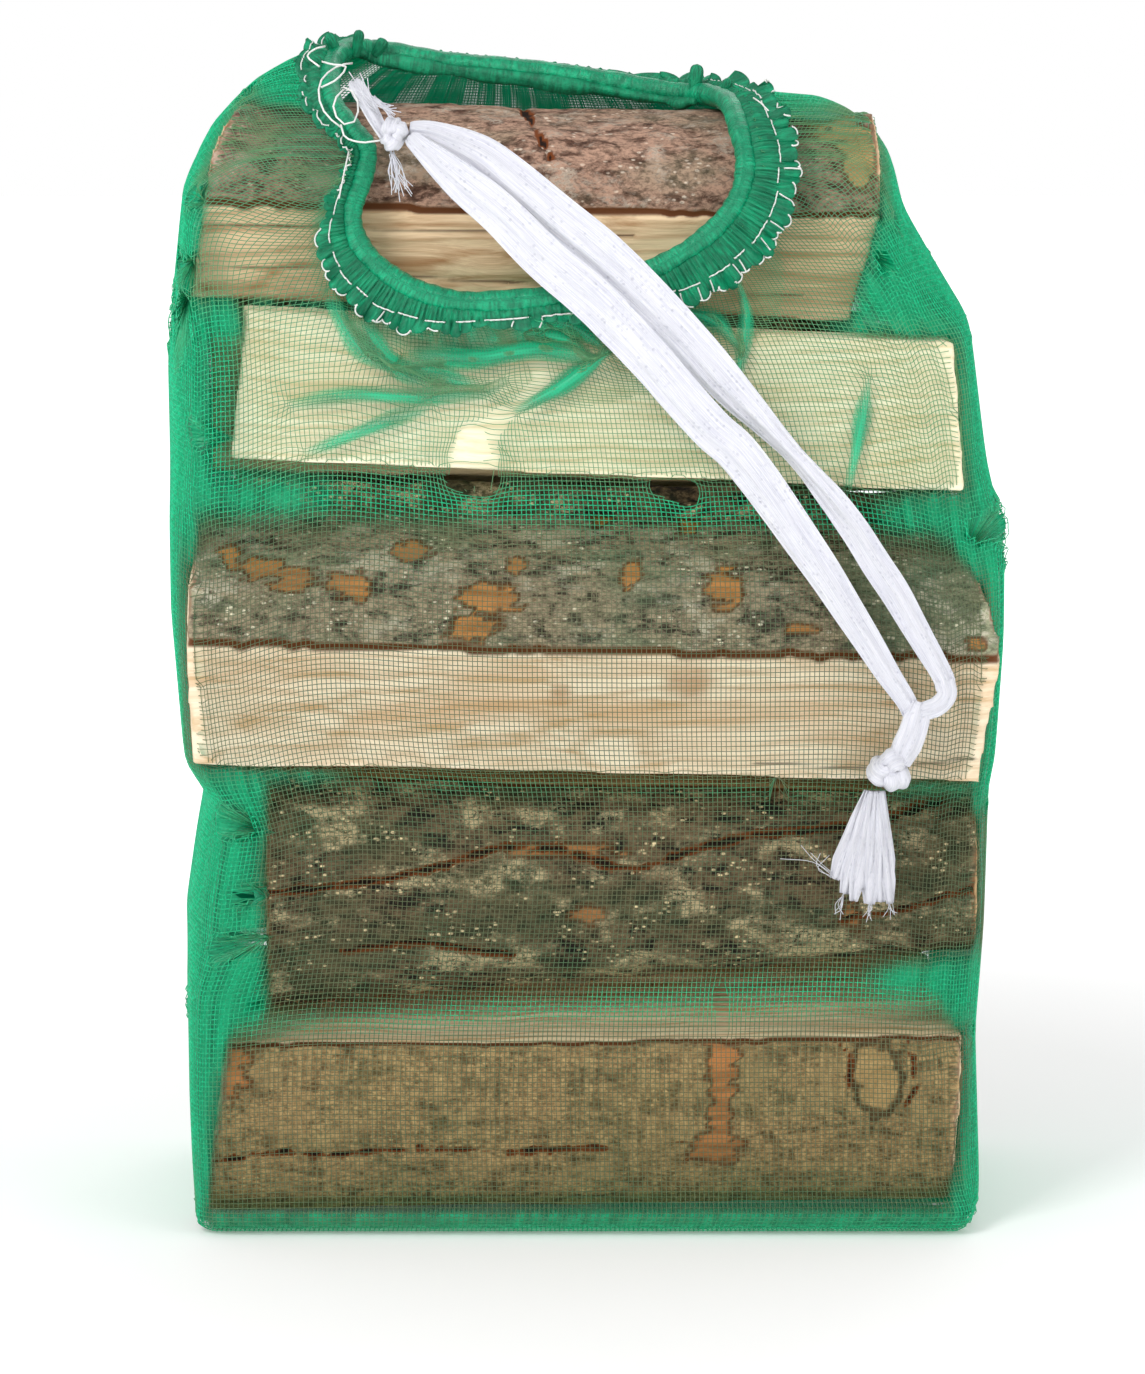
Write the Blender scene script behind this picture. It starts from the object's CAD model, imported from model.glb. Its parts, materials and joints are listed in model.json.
import json
import math
import random

import bpy
import numpy as np
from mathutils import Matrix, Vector, noise
from mathutils.bvhtree import BVHTree


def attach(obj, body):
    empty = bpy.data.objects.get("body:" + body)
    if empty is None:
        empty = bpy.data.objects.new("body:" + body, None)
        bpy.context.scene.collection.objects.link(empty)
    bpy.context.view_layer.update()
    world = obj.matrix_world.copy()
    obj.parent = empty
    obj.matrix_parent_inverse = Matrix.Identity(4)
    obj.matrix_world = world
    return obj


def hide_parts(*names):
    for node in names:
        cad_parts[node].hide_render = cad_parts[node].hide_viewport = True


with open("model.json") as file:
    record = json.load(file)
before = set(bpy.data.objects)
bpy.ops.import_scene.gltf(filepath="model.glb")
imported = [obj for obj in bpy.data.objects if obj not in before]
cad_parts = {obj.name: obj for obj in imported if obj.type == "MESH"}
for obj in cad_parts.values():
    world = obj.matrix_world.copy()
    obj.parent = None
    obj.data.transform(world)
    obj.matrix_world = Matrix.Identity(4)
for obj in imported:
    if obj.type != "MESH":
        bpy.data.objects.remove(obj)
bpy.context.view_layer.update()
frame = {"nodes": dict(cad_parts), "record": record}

mm = 0.001


def tone(red, green, blue):
    # the 0 to 255 colour of a paint chart, as the linear colour that shaders use
    def linear(level):
        share = level / 255
        return share / 12.92 if share <= 0.04045 else ((share + 0.055) / 1.055) ** 2.4
    return (linear(red), linear(green), linear(blue), 1.0)


# camera, lights and floor

cameraSetup = {"aim": (-0.005, 0.0, 0.221), "distance": 2.2, "elevation": 9.0, "lens": 134.0}
lampSetup = {
    "key": {"at": (-1.3, -1.9, 2.1), "size": 0.9, "power": 36},
    "fill": {"at": (1.7, -1.6, 1.1), "size": 1.4, "power": 9},
    "back": {"at": (0.4, 1.9, 1.9), "size": 1.6, "power": 10},
}
floorSetup = {"size": 14.0, "colour": (0.93, 0.93, 0.93, 1), "glow": (0.16, 0.62), "world": 0.66}


def deselectAll():
    bpy.ops.object.select_all(action="DESELECT")


def makeActive(piece):
    deselectAll()
    piece.select_set(True)
    bpy.context.view_layer.objects.active = piece


def addCamera():
    up = math.radians(cameraSetup["elevation"])
    back = Vector((0, -math.cos(up), math.sin(up))) * cameraSetup["distance"]
    bpy.ops.object.camera_add(location=Vector(cameraSetup["aim"]) + back,
                              rotation=(math.pi / 2 - up, 0, 0))
    camera = bpy.context.object
    camera.data.lens = cameraSetup["lens"]
    bpy.context.scene.camera = camera


def addLamps():
    for name, lamp in lampSetup.items():
        away = Vector(lamp["at"]) - Vector((0, 0, 0.22))
        turn = away.to_track_quat("Z", "Y").to_euler()
        bpy.ops.object.light_add(type="AREA", location=lamp["at"], rotation=turn)
        light = bpy.context.object
        light.name = "lamp_" + name
        light.data.size = lamp["size"]
        light.data.energy = lamp["power"]


def addFloor():
    deselectAll()
    bpy.ops.mesh.primitive_plane_add(size=floorSetup["size"])
    floor = bpy.context.object
    floor.name = "floor"
    look = bpy.data.materials.new("paleFloor")
    look.use_nodes = True
    shader = look.node_tree.nodes["Principled BSDF"]
    shader.inputs["Base Color"].default_value = floorSetup["colour"]
    shader.inputs["Roughness"].default_value = 0.9
    shader.inputs["Emission Color"].default_value = (1, 1, 1, 1)
    # the floor grows lighter away from the object, so that it runs into the background
    place = look.node_tree.nodes.new("ShaderNodeTexCoord")
    away = look.node_tree.nodes.new("ShaderNodeVectorMath")
    away.operation = "LENGTH"
    lighter = look.node_tree.nodes.new("ShaderNodeMapRange")
    for label, value in (("From Min", 0.35), ("From Max", 1.15), ("To Min", floorSetup["glow"][0]),
                         ("To Max", floorSetup["glow"][1])):
        lighter.inputs[label].default_value = value
    look.node_tree.links.new(place.outputs["Object"], away.inputs[0])
    look.node_tree.links.new(away.outputs["Value"], lighter.inputs["Value"])
    look.node_tree.links.new(lighter.outputs["Result"], shader.inputs["Emission Strength"])
    floor.data.materials.append(look)
    world = bpy.data.worlds.new("studio")
    world.use_nodes = True
    tree = world.node_tree
    tree.nodes["Background"].inputs["Color"].default_value = (1, 1, 1, 1)
    seen = tree.nodes.new("ShaderNodeLightPath")
    strength = tree.nodes.new("ShaderNodeMapRange")
    strength.inputs["To Min"].default_value = floorSetup["world"]
    strength.inputs["To Max"].default_value = 1.0
    tree.links.new(seen.outputs["Is Camera Ray"], strength.inputs["Value"])
    tree.links.new(strength.outputs["Result"], tree.nodes["Background"].inputs["Strength"])
    bpy.context.scene.world = world
    bpy.context.scene.view_settings.view_transform = "Standard"


addCamera()
addLamps()
addFloor()
print("stage: camera, lamps and floor")


# node helpers

def newLook(name):
    look = bpy.data.materials.new(name)
    look.use_nodes = True
    return look, look.node_tree, look.node_tree.nodes["Principled BSDF"]


def addNode(tree, kind, inputs=None, **settings):
    made = tree.nodes.new(kind)
    for name, value in settings.items():
        setattr(made, name, value)
    for key, value in (inputs or {}).items():
        feed(tree, made.inputs[key], value)
    return made


def feed(tree, socket, value):
    if isinstance(value, bpy.types.NodeSocket):
        tree.links.new(value, socket)
    else:
        socket.default_value = value


def valueOf(tree, name):
    # a value that the mesh carries at each point
    return addNode(tree, "ShaderNodeAttribute", attribute_name=name).outputs["Fac"]


def inPlace(tree):
    return addNode(tree, "ShaderNodeTexCoord").outputs["Object"]


def roughen(tree, shader, height, strength, distance):
    bump = addNode(tree, "ShaderNodeBump", {"Height": height, "Strength": strength, "Distance": distance})
    tree.links.new(bump.outputs["Normal"], shader.inputs["Normal"])


def maths(tree, operation, first, second=0.0, third=0.0):
    made = addNode(tree, "ShaderNodeMath", {0: first, 1: second, 2: third}, operation=operation)
    return made.outputs[0]


def spread(tree, value, low, high, toLow=0.0, toHigh=1.0):
    made = addNode(tree, "ShaderNodeMapRange",
                   {"Value": value, "From Min": low, "From Max": high, "To Min": toLow, "To Max": toHigh})
    made.interpolation_type = "SMOOTHSTEP"
    return made.outputs["Result"]


def blendColours(tree, share, first, second, blend="MIX"):
    made = addNode(tree, "ShaderNodeMix", {0: share, 6: first, 7: second},
                   data_type="RGBA", blend_type=blend)
    return made.outputs[2]


def stretched(tree, vector, scale, move=(0, 0, 0)):
    made = addNode(tree, "ShaderNodeMapping", {"Vector": vector, "Location": move, "Scale": scale})
    return made.outputs["Vector"]


def cloudy(tree, vector, scale=1.0, detail=3.0, rough=0.55, twist=0.0):
    made = addNode(tree, "ShaderNodeTexNoise",
                   {"Vector": vector, "Scale": scale, "Detail": detail, "Roughness": rough, "Distortion": twist})
    return made.outputs["Fac"]


def newGroup(name, inputs, outputs):
    group = bpy.data.node_groups.new(name, "ShaderNodeTree")
    for label, kind, value in inputs:
        socket = group.interface.new_socket(label, in_out="INPUT", socket_type=kind)
        if value is not None:
            socket.default_value = value
    for label, kind in outputs:
        group.interface.new_socket(label, in_out="OUTPUT", socket_type=kind)
    return group, group.nodes.new("NodeGroupInput").outputs, group.nodes.new("NodeGroupOutput").inputs


def splitWoodGroup():
    # growth rings and fibres of a split face, in metres round a pith line that runs along X
    group, given, out = newGroup("splitWood", [
        ("Vector", "NodeSocketVector", None), ("Light", "NodeSocketColor", (1, 1, 1, 1)),
        ("Dark", "NodeSocketColor", (0, 0, 0, 1)), ("Stain", "NodeSocketColor", (0, 0, 0, 1)),
        ("Ring Strength", "NodeSocketFloat", 0.5), ("Stain Amount", "NodeSocketFloat", 0.3),
    ], [("Color", "NodeSocketColor"), ("Height", "NodeSocketFloat")])
    place = given["Vector"]
    swing = cloudy(group, stretched(group, place, (9, 16, 16)), detail=2)
    parts = addNode(group, "ShaderNodeSeparateXYZ", {0: place})
    pulled = maths(group, "MULTIPLY_ADD", swing, 0.026, -0.013)
    across = maths(group, "ADD", parts.outputs["Y"], pulled)
    height = maths(group, "ADD", parts.outputs["Z"], pulled)
    flat = addNode(group, "ShaderNodeCombineXYZ", {"Y": across, "Z": height}).outputs[0]
    radius = addNode(group, "ShaderNodeVectorMath", {0: flat}, operation="LENGTH").outputs["Value"]
    ringPhase = maths(group, "MULTIPLY", radius, 2 * math.pi / 0.0042)
    ring = maths(group, "MULTIPLY_ADD", maths(group, "SINE", ringPhase), 0.5, 0.5)
    late = maths(group, "POWER", ring, 3.0)
    bent = addNode(group, "ShaderNodeCombineXYZ", {"X": parts.outputs["X"], "Y": across, "Z": height}).outputs[0]
    streak = cloudy(group, stretched(group, bent, (11, 230, 230)), detail=5, rough=0.62)
    fibre = cloudy(group, stretched(group, bent, (45, 1500, 1500)), detail=3)
    broad = cloudy(group, stretched(group, bent, (6, 42, 42), (3, 1, 7)), detail=3)
    streaks = spread(group, streak, 0.38, 0.68)
    shade = maths(group, "MULTIPLY_ADD", late, given["Ring Strength"], maths(group, "MULTIPLY", streaks, 0.55))
    shade = maths(group, "ADD", shade, maths(group, "MULTIPLY_ADD", fibre, 0.5, -0.28))
    shade = addNode(group, "ShaderNodeClamp", {0: shade}).outputs[0]
    colour = blendColours(group, shade, given["Light"], given["Dark"])
    stains = maths(group, "MULTIPLY", spread(group, broad, 0.5, 0.72), given["Stain Amount"])
    group.links.new(blendColours(group, stains, colour, given["Stain"]), out["Color"])
    relief = maths(group, "MULTIPLY_ADD", streak, 1.0, maths(group, "MULTIPLY", fibre, 0.45))
    group.links.new(relief, out["Height"])
    return group


def barkSkinGroup():
    group, given, out = newGroup("barkSkin", [
        ("Vector", "NodeSocketVector", None), ("Base", "NodeSocketColor", (1, 1, 1, 1)),
        ("Dark", "NodeSocketColor", (0, 0, 0, 1)), ("Speck", "NodeSocketColor", (1, 1, 1, 1)),
        ("Moss", "NodeSocketColor", (0, 0, 0, 1)), ("Speck Amount", "NodeSocketFloat", 0.4),
        ("Moss Amount", "NodeSocketFloat", 0.3), ("Streak Amount", "NodeSocketFloat", 0.0),
    ], [("Color", "NodeSocketColor"), ("Height", "NodeSocketFloat")])
    place = given["Vector"]
    broad = cloudy(group, stretched(group, place, (14, 30, 30)), detail=4)
    plates = cloudy(group, stretched(group, place, (95, 190, 190)), detail=6, rough=0.68, twist=0.4)
    crumbs = addNode(group, "ShaderNodeTexVoronoi", {
        "Vector": stretched(group, place, (260, 420, 420)), "Scale": 1.0})
    fine = cloudy(group, stretched(group, place, (420, 700, 700)), detail=4, rough=0.7)
    darkShare = spread(group, plates, 0.44, 0.62)
    colour = blendColours(group, darkShare, given["Base"], given["Dark"])
    mossShare = maths(group, "MULTIPLY", spread(group, broad, 0.46, 0.62), given["Moss Amount"])
    colour = blendColours(group, mossShare, colour, given["Moss"])
    patchy = cloudy(group, stretched(group, place, (38, 62, 62), (5, 2, 9)), detail=5, rough=0.7)
    lichen = maths(group, "MULTIPLY", spread(group, patchy, 0.5, 0.64), spread(group, fine, 0.4, 0.56))
    dots = spread(group, crumbs.outputs["Distance"], 0.34, 0.16)
    grain = spread(group, cloudy(group, stretched(group, place, (60, 90, 90), (1, 8, 3)), detail=2), 0.5, 0.6)
    specks = maths(group, "MAXIMUM", lichen, maths(group, "MULTIPLY", dots, grain))
    colour = blendColours(group, maths(group, "MULTIPLY", specks, given["Speck Amount"]), colour, given["Speck"])
    streaks = cloudy(group, stretched(group, place, (520, 40, 40), (2, 4, 6)), detail=3, rough=0.6)
    streakShare = maths(group, "MULTIPLY", spread(group, streaks, 0.46, 0.6), given["Streak Amount"])
    colour = blendColours(group, streakShare, colour, given["Speck"])
    darken = spread(group, fine, 0.64, 0.38, 0.58, 1.22)
    shaded = addNode(group, "ShaderNodeHueSaturation", {"Value": darken, "Color": colour}).outputs[0]
    group.links.new(shaded, out["Color"])
    relief = maths(group, "MULTIPLY_ADD", plates, -1.4, maths(group, "MULTIPLY", fine, 0.5))
    group.links.new(maths(group, "ADD", relief, maths(group, "MULTIPLY", specks, 0.25)), out["Height"])
    return group


def cutEndGroup():
    # a sawn end: rings round the pith, saw fuzz and drying cracks that run out from the pith
    group, given, out = newGroup("cutEnd", [
        ("Vector", "NodeSocketVector", None), ("Light", "NodeSocketColor", (1, 1, 1, 1)),
        ("Dark", "NodeSocketColor", (0, 0, 0, 1)),
    ], [("Color", "NodeSocketColor"), ("Height", "NodeSocketFloat")])
    parts = addNode(group, "ShaderNodeSeparateXYZ", {0: given["Vector"]})
    flat = addNode(group, "ShaderNodeCombineXYZ", {"Y": parts.outputs["Y"], "Z": parts.outputs["Z"]}).outputs[0]
    wobble = cloudy(group, stretched(group, flat, (30, 30, 30)), detail=2)
    radius = addNode(group, "ShaderNodeVectorMath", {0: flat}, operation="LENGTH").outputs["Value"]
    radius = maths(group, "ADD", radius, maths(group, "MULTIPLY", wobble, 0.012))
    ring = maths(group, "MULTIPLY_ADD", maths(group, "SINE", maths(group, "MULTIPLY", radius, 1900.0)), 0.5, 0.5)
    turn = maths(group, "ARCTAN2", parts.outputs["Z"], parts.outputs["Y"])
    rays = cloudy(group, addNode(group, "ShaderNodeCombineXYZ", {
        "X": maths(group, "MULTIPLY", turn, 9.0), "Y": maths(group, "MULTIPLY", radius, 26.0)}).outputs[0], detail=3)
    fuzz = cloudy(group, stretched(group, given["Vector"], (600, 600, 600)), detail=3)
    crack = spread(group, rays, 0.3, 0.24)
    shade = maths(group, "MULTIPLY_ADD", ring, 0.3, maths(group, "MULTIPLY", fuzz, 0.5))
    colour = blendColours(group, shade, given["Light"], given["Dark"])
    darkCrack = blendColours(group, maths(group, "MULTIPLY", crack, 0.8), colour, (0.03, 0.018, 0.01, 1))
    group.links.new(darkCrack, out["Color"])
    group.links.new(maths(group, "SUBTRACT", maths(group, "MULTIPLY", fuzz, 0.6), crack), out["Height"])
    return group


splitWood = splitWoodGroup()
barkSkin = barkSkinGroup()
cutEnd = cutEndGroup()


def placedGroup(tree, group, inputs):
    made = addNode(tree, "ShaderNodeGroup", node_tree=group)
    for key, value in inputs.items():
        feed(tree, made.inputs[key], value)
    return made


# mesh helpers

def meshPoints(mesh, what="vertices", field="co"):
    items = getattr(mesh, what)
    values = np.empty(len(items) * 3)
    items.foreach_get(field, values)
    return values.reshape(-1, 3)


def smoothStep(values, low, high):
    share = np.clip((values - low) / (high - low), 0, 1)
    return share * share * (3 - 2 * share)


def setValues(mesh, name, values):
    attribute = mesh.attributes.new(name, "FLOAT", "POINT")
    attribute.data.foreach_set("value", values.astype(np.float32))


def finishPiece(piece, look, slotName, *nodes):
    piece.data.materials.clear()
    piece.data.materials.append(look)
    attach(piece, "root")
    if nodes:
        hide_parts(*nodes)


def threadMesh(field, present, radius):
    # three-sided threads along the second axis of the field, thinned out where they run straight
    points, normals, stain = field[..., :3], field[..., 3:6], field[..., 6]
    count = points.shape[1]
    order = np.arange(count)
    keep = np.zeros(points.shape[:2], bool)
    keep[:, order % 4 == 0] = True
    keep[:, -1] = True
    for step in (2, 1):
        middle = 0.5 * (np.roll(points, step, 1) + np.roll(points, -step, 1))
        bent = np.linalg.norm(points - middle, axis=2) > 0.11
        keep |= bent & (order % (2 * step) == step)[None]
    edge = present ^ np.roll(present, 1, 1) | present ^ np.roll(present, -1, 1)
    keep = (keep | edge) & present
    along = np.gradient(points, axis=1)
    along /= (np.linalg.norm(along, axis=2) + 1e-9)[..., None]
    side = np.cross(along, normals)
    side /= (np.linalg.norm(side, axis=2) + 1e-9)[..., None]
    lift = np.cross(side, along)
    angles = np.radians((90, 210, 330))
    thick = (radius * (1 - 0.3 * stain[keep]))[:, None, None]
    rings = points[keep][:, None] + thick * (
        lift[keep][:, None] * np.sin(angles)[None, :, None] + side[keep][:, None] * np.cos(angles)[None, :, None])
    thread, place = np.nonzero(keep)
    lost = np.cumsum(~present, axis=1)[thread, place]
    joined = (thread[1:] == thread[:-1]) & (lost[1:] == lost[:-1])
    first = np.nonzero(joined)[0] * 3
    quads = [np.stack([first + a, first + b, first + 3 + b, first + 3 + a], 1) for a, b in ((1, 0), (2, 1), (0, 2))]
    quads = np.concatenate(quads)
    starts = np.nonzero(joined & ~np.concatenate([[False], joined[:-1]]))[0] * 3
    ends = (np.nonzero(joined & ~np.concatenate([joined[1:], [False]]))[0] + 1) * 3
    caps = np.concatenate([np.stack([starts, starts + 1, starts + 2], 1), np.stack([ends + 2, ends + 1, ends], 1)])
    return rings.reshape(-1, 3), quads, caps, np.repeat(stain[keep], 3)


def addMesh(name, points, quads, caps):
    mesh = bpy.data.meshes.new(name)
    mesh.vertices.add(len(points))
    mesh.vertices.foreach_set("co", (points * mm).astype(np.float32).ravel())
    corners = np.concatenate([quads.ravel(), caps.ravel()]).astype(np.int32)
    mesh.loops.add(len(corners))
    mesh.loops.foreach_set("vertex_index", corners)
    starts = np.concatenate([np.arange(len(quads)) * 4, len(quads) * 4 + np.arange(len(caps)) * 3])
    mesh.polygons.add(len(starts))
    mesh.polygons.foreach_set("loop_start", starts.astype(np.int32))
    mesh.polygons.foreach_set("use_smooth", np.ones(len(starts), bool))
    mesh.update(calc_edges=True)
    piece = bpy.data.objects.new(name, mesh)
    bpy.context.collection.objects.link(piece)
    return piece


# shapes swept along a line, in millimetres

def curveThrough(a, b, c, d, t):
    # points between b and c, on a smooth curve that goes on to a and d
    return 0.5 * (2 * b + (c - a) * t + (2 * a - 5 * b + 4 * c - d) * t * t + (3 * b - a - 3 * c + d) * t ** 3)


def smoothLine(points, count, closed=False):
    # evenly spaced points on a smooth curve through the points
    points = np.array(points, float)
    if closed:
        padded = np.concatenate([points[-1:], points, points[:2]])
    else:
        padded = np.concatenate([2 * points[:1] - points[1:2], points, 2 * points[-1:] - points[-2:-1]])
    spans = len(padded) - 3
    t = np.linspace(0, spans, 40 * spans + 1)
    low = np.minimum(t.astype(int), spans - 1)
    t = (t - low)[:, None]
    a, b, c, d = (padded[low + k] for k in range(4))
    fine = curveThrough(a, b, c, d, t)
    run = np.concatenate([[0], np.cumsum(np.linalg.norm(np.diff(fine, axis=0), axis=1))])
    wanted = np.linspace(0, run[-1], count, endpoint=not closed)
    return np.stack([np.interp(wanted, run, fine[:, k]) for k in range(3)], 1), run[-1]


def sweptPiece(name, line, out, section, closed=False):
    # a skin round a line: section gives (across, out) for each place on the line and each corner
    along = (np.roll(line, -1, 0) - np.roll(line, 1, 0)) if closed else np.gradient(line, axis=0)
    along /= np.linalg.norm(along, axis=1)[:, None]
    side = np.cross(along, out)
    side /= np.linalg.norm(side, axis=1)[:, None]
    lift = np.cross(side, along)
    points = line[:, None] + side[:, None] * section[..., :1] + lift[:, None] * section[..., 1:]
    count, corners = section.shape[:2]
    i, k = np.indices((count if closed else count - 1, corners)).reshape(2, -1)
    after, beside = (i + 1) % count, (k + 1) % corners
    quads = np.stack([i * corners + beside, i * corners + k, after * corners + k, after * corners + beside], 1)
    caps = np.zeros((0, 3), int)
    if not closed:
        fan = np.arange(1, corners - 1)
        first = np.stack([0 * fan, fan, fan + 1], 1)
        last = (count - 1) * corners
        caps = np.concatenate([first, np.stack([0 * fan, fan + 1, fan], 1) + last])
    return addMesh(name, points.reshape(-1, 3), quads, caps)


def flatSection(half, thick, crease, steps=12):
    # corners of a flat band: half widths and thicknesses along it, crease(place, across) lifts it
    count = len(half)
    place = np.arange(count)[:, None]
    across = np.cos(np.linspace(math.pi, 0, steps))[None]
    middle = crease(place, across)
    body = thick[:, None] * (0.25 + 0.75 * np.sqrt(np.maximum(1 - across ** 2, 0)))
    lower = np.stack([half[:, None] * across, middle - body], -1)
    upper = np.stack([half[:, None] * across, middle + body], -1)[:, ::-1]
    return np.concatenate([lower, upper], 1)


def bandValues(piece, count, steps, length):
    # millimetres along the band, and -1 to 1 across it, for the weave
    across = np.cos(np.linspace(math.pi, 0, steps))
    setValues(piece.data, "along", np.repeat(np.linspace(0, length, count), 2 * steps))
    setValues(piece.data, "across", np.tile(np.concatenate([across, across[::-1]]), count))


def withoutWeave(piece):
    for label in ("along", "across"):
        setValues(piece.data, label, np.zeros(len(piece.data.vertices)))
    return piece


def bandAlong(name, route, count, half, thick, crease, steps, out):
    # a flat band along a route, with the values for its weave
    line, length = smoothLine(route, count)
    piece = sweptPiece(name, line, np.tile(out, (count, 1)), flatSection(half, thick, crease, steps))
    bandValues(piece, count, steps, length)
    return piece


# the tape handle, in millimetres

lowerStrand = [
    (-71, -93, 461.5), (-65, -95, 456), (-51, -97, 444), (-34, -99, 430), (-18, -101, 414),
    (2, -102, 397), (15, -102, 384), (29, -102, 369), (41, -102, 355), (52, -102, 343),
    (61, -102, 335), (70, -102, 324), (80, -102, 310), (89, -102, 297), (98, -102, 284),
    (107, -102, 270), (116, -102, 256), (124, -102, 243), (132, -102.5, 231), (135.5, -103, 222),
]
upperStrand = [
    (-71, -91, 464.5), (-61, -91, 463), (-43, -92, 455), (-29, -94, 444), (-10, -96, 428),
    (7, -97, 414), (26, -98, 396), (45, -98, 376), (60, -98, 359), (79, -98, 339), (90, -98, 327),
    (101, -98, 314), (110, -99, 302), (119, -100, 288), (127, -101, 276), (135, -101, 262),
    (142, -102, 250), (147, -102, 241), (148, -102, 236),
]
# share of the length, half width, thickness and turn in degrees of each strand
strandShapes = {
    "lower": [(0, 2.8, 2.6, 0), (0.04, 5.6, 2.4, 4), (0.1, 8.4, 2.2, 8), (0.3, 9.4, 1.8, 6), (0.6, 8.8, 1.5, 2),
              (0.75, 7.6, 1.5, 0), (0.9, 5.6, 1.7, -6), (1, 3.6, 2.2, -10)],
    "upper": [(0, 2.6, 2.6, 0), (0.05, 5.6, 2.4, -6), (0.12, 8.6, 2.0, -10), (0.3, 9.6, 1.6, -8), (0.52, 8.2, 1.4, 0),
              (0.645, 3.9, 1.7, 24), (0.72, 5.8, 1.3, 10), (0.85, 6.4, 1.2, 0), (0.95, 5.0, 1.5, -10),
              (1, 4.2, 1.9, -20)],
}


def tapeMaterial():
    look, tree, shader = newLook("whiteTapeLook")
    along = valueOf(tree, "along")
    across = valueOf(tree, "across")
    place = addNode(tree, "ShaderNodeCombineXYZ", {"X": along, "Y": maths(tree, "MULTIPLY", across, 8.0)}).outputs[0]
    sway = cloudy(tree, stretched(tree, place, (0.05, 0.3, 1)), detail=3)
    eyelets = addNode(tree, "ShaderNodeTexVoronoi", {"Vector": stretched(tree, place, (0.42, 0.5, 1)), "Scale": 1.0,
                                                    "Randomness": 0.55})
    holes = spread(tree, eyelets.outputs["Distance"], 0.36, 0.16)
    patches = spread(tree, sway, 0.42, 0.6)
    holes = maths(tree, "MULTIPLY", holes, patches)
    lines = cloudy(tree, stretched(tree, place, (0.045, 2.6, 1)), detail=4, rough=0.65)
    ribs = spread(tree, lines, 0.36, 0.64)
    colour = blendColours(tree, ribs, tone(216, 217, 228), tone(240, 240, 246))
    colour = blendColours(tree, maths(tree, "MULTIPLY", holes, 0.45), colour, tone(188, 190, 206))
    tree.links.new(colour, shader.inputs["Base Color"])
    height = maths(tree, "MULTIPLY_ADD", holes, -0.9, maths(tree, "MULTIPLY", lines, 1.6))
    roughen(tree, shader, height, 0.6, 0.0007)
    tree.links.new(spread(tree, lines, 0.3, 0.7, 0.6, 0.42), shader.inputs["Roughness"])
    shader.inputs["Sheen Weight"].default_value = 0.25
    return look


whiteTape = tapeMaterial()


def strandPiece(name, route, shape, seed):
    line, length = smoothLine(route, 190)
    share = np.linspace(0, 1, len(line))
    half, thick, turn = (np.interp(share, [s[0] for s in shape], [s[k] for s in shape]) for k in (1, 2, 3))
    for values in (half, thick, turn):
        values[1:-1] = np.convolve(np.pad(values, 6, "edge"), np.ones(13) / 13, "valid")[1:-1]
    run = share * length

    def crease(place, across):
        where = run[place]
        fold = 1.5 * np.sin(4.6 * across + 1.1 + 0.9 * np.sin(where / 46 + seed)) \
            + 0.75 * np.sin(9.5 * across + where / 33 + seed) + 0.35 * np.sin(17 * across - where / 21 + 2 * seed)
        ripple = 0.25 * np.sin(where / 3.1 + 2.5 * across + 2 * np.sin(where / 17)) * (0.3 + 0.7 * np.abs(across))
        return (fold + ripple) * np.minimum(half[place] / 8, 1)
    section = flatSection(half, thick * 0.45, crease, 22)
    angle = np.radians(turn)
    out = np.stack([0 * angle, -np.ones_like(angle), 0 * angle], 1)
    along = np.gradient(line, axis=0)
    along /= np.linalg.norm(along, axis=1)[:, None]
    out = out * np.cos(angle)[:, None] + np.cross(along, out) * np.sin(angle)[:, None]
    piece = sweptPiece(name, line, out, section)
    bandValues(piece, len(line), 22, length)
    return piece, line, length


def knotPiece(name, centre, size, turn, seed, wide=3.6):
    # a tape tied once over itself
    t = np.linspace(0, 2 * math.pi, 150, endpoint=False)
    line = np.stack([np.sin(t) + 2 * np.sin(2 * t), 0.8 * np.sin(3 * t), np.cos(t) - 2 * np.cos(2 * t)], 1)
    line *= np.array(size) / (3.0, 0.8, 3.0)
    turned = math.radians(turn)
    x = line[:, 0] * math.cos(turned) - line[:, 2] * math.sin(turned)
    z = line[:, 0] * math.sin(turned) + line[:, 2] * math.cos(turned)
    line = np.stack([x, line[:, 1], z], 1) + centre
    half = wide * (1 + 0.15 * np.sin(2 * t + seed))
    section = flatSection(half, np.full(len(t), 1.5), lambda place, across:
                          0.7 * np.sin(6 * across + t[place] * 3 + seed) - 1.3 * across ** 2 * half[place] / wide, 12)
    outward = line - centre + (0, -4.5, 0)
    piece = sweptPiece(name, line, outward, section, closed=True)
    bandValues(piece, len(t), 12, 70)
    return piece


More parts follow.
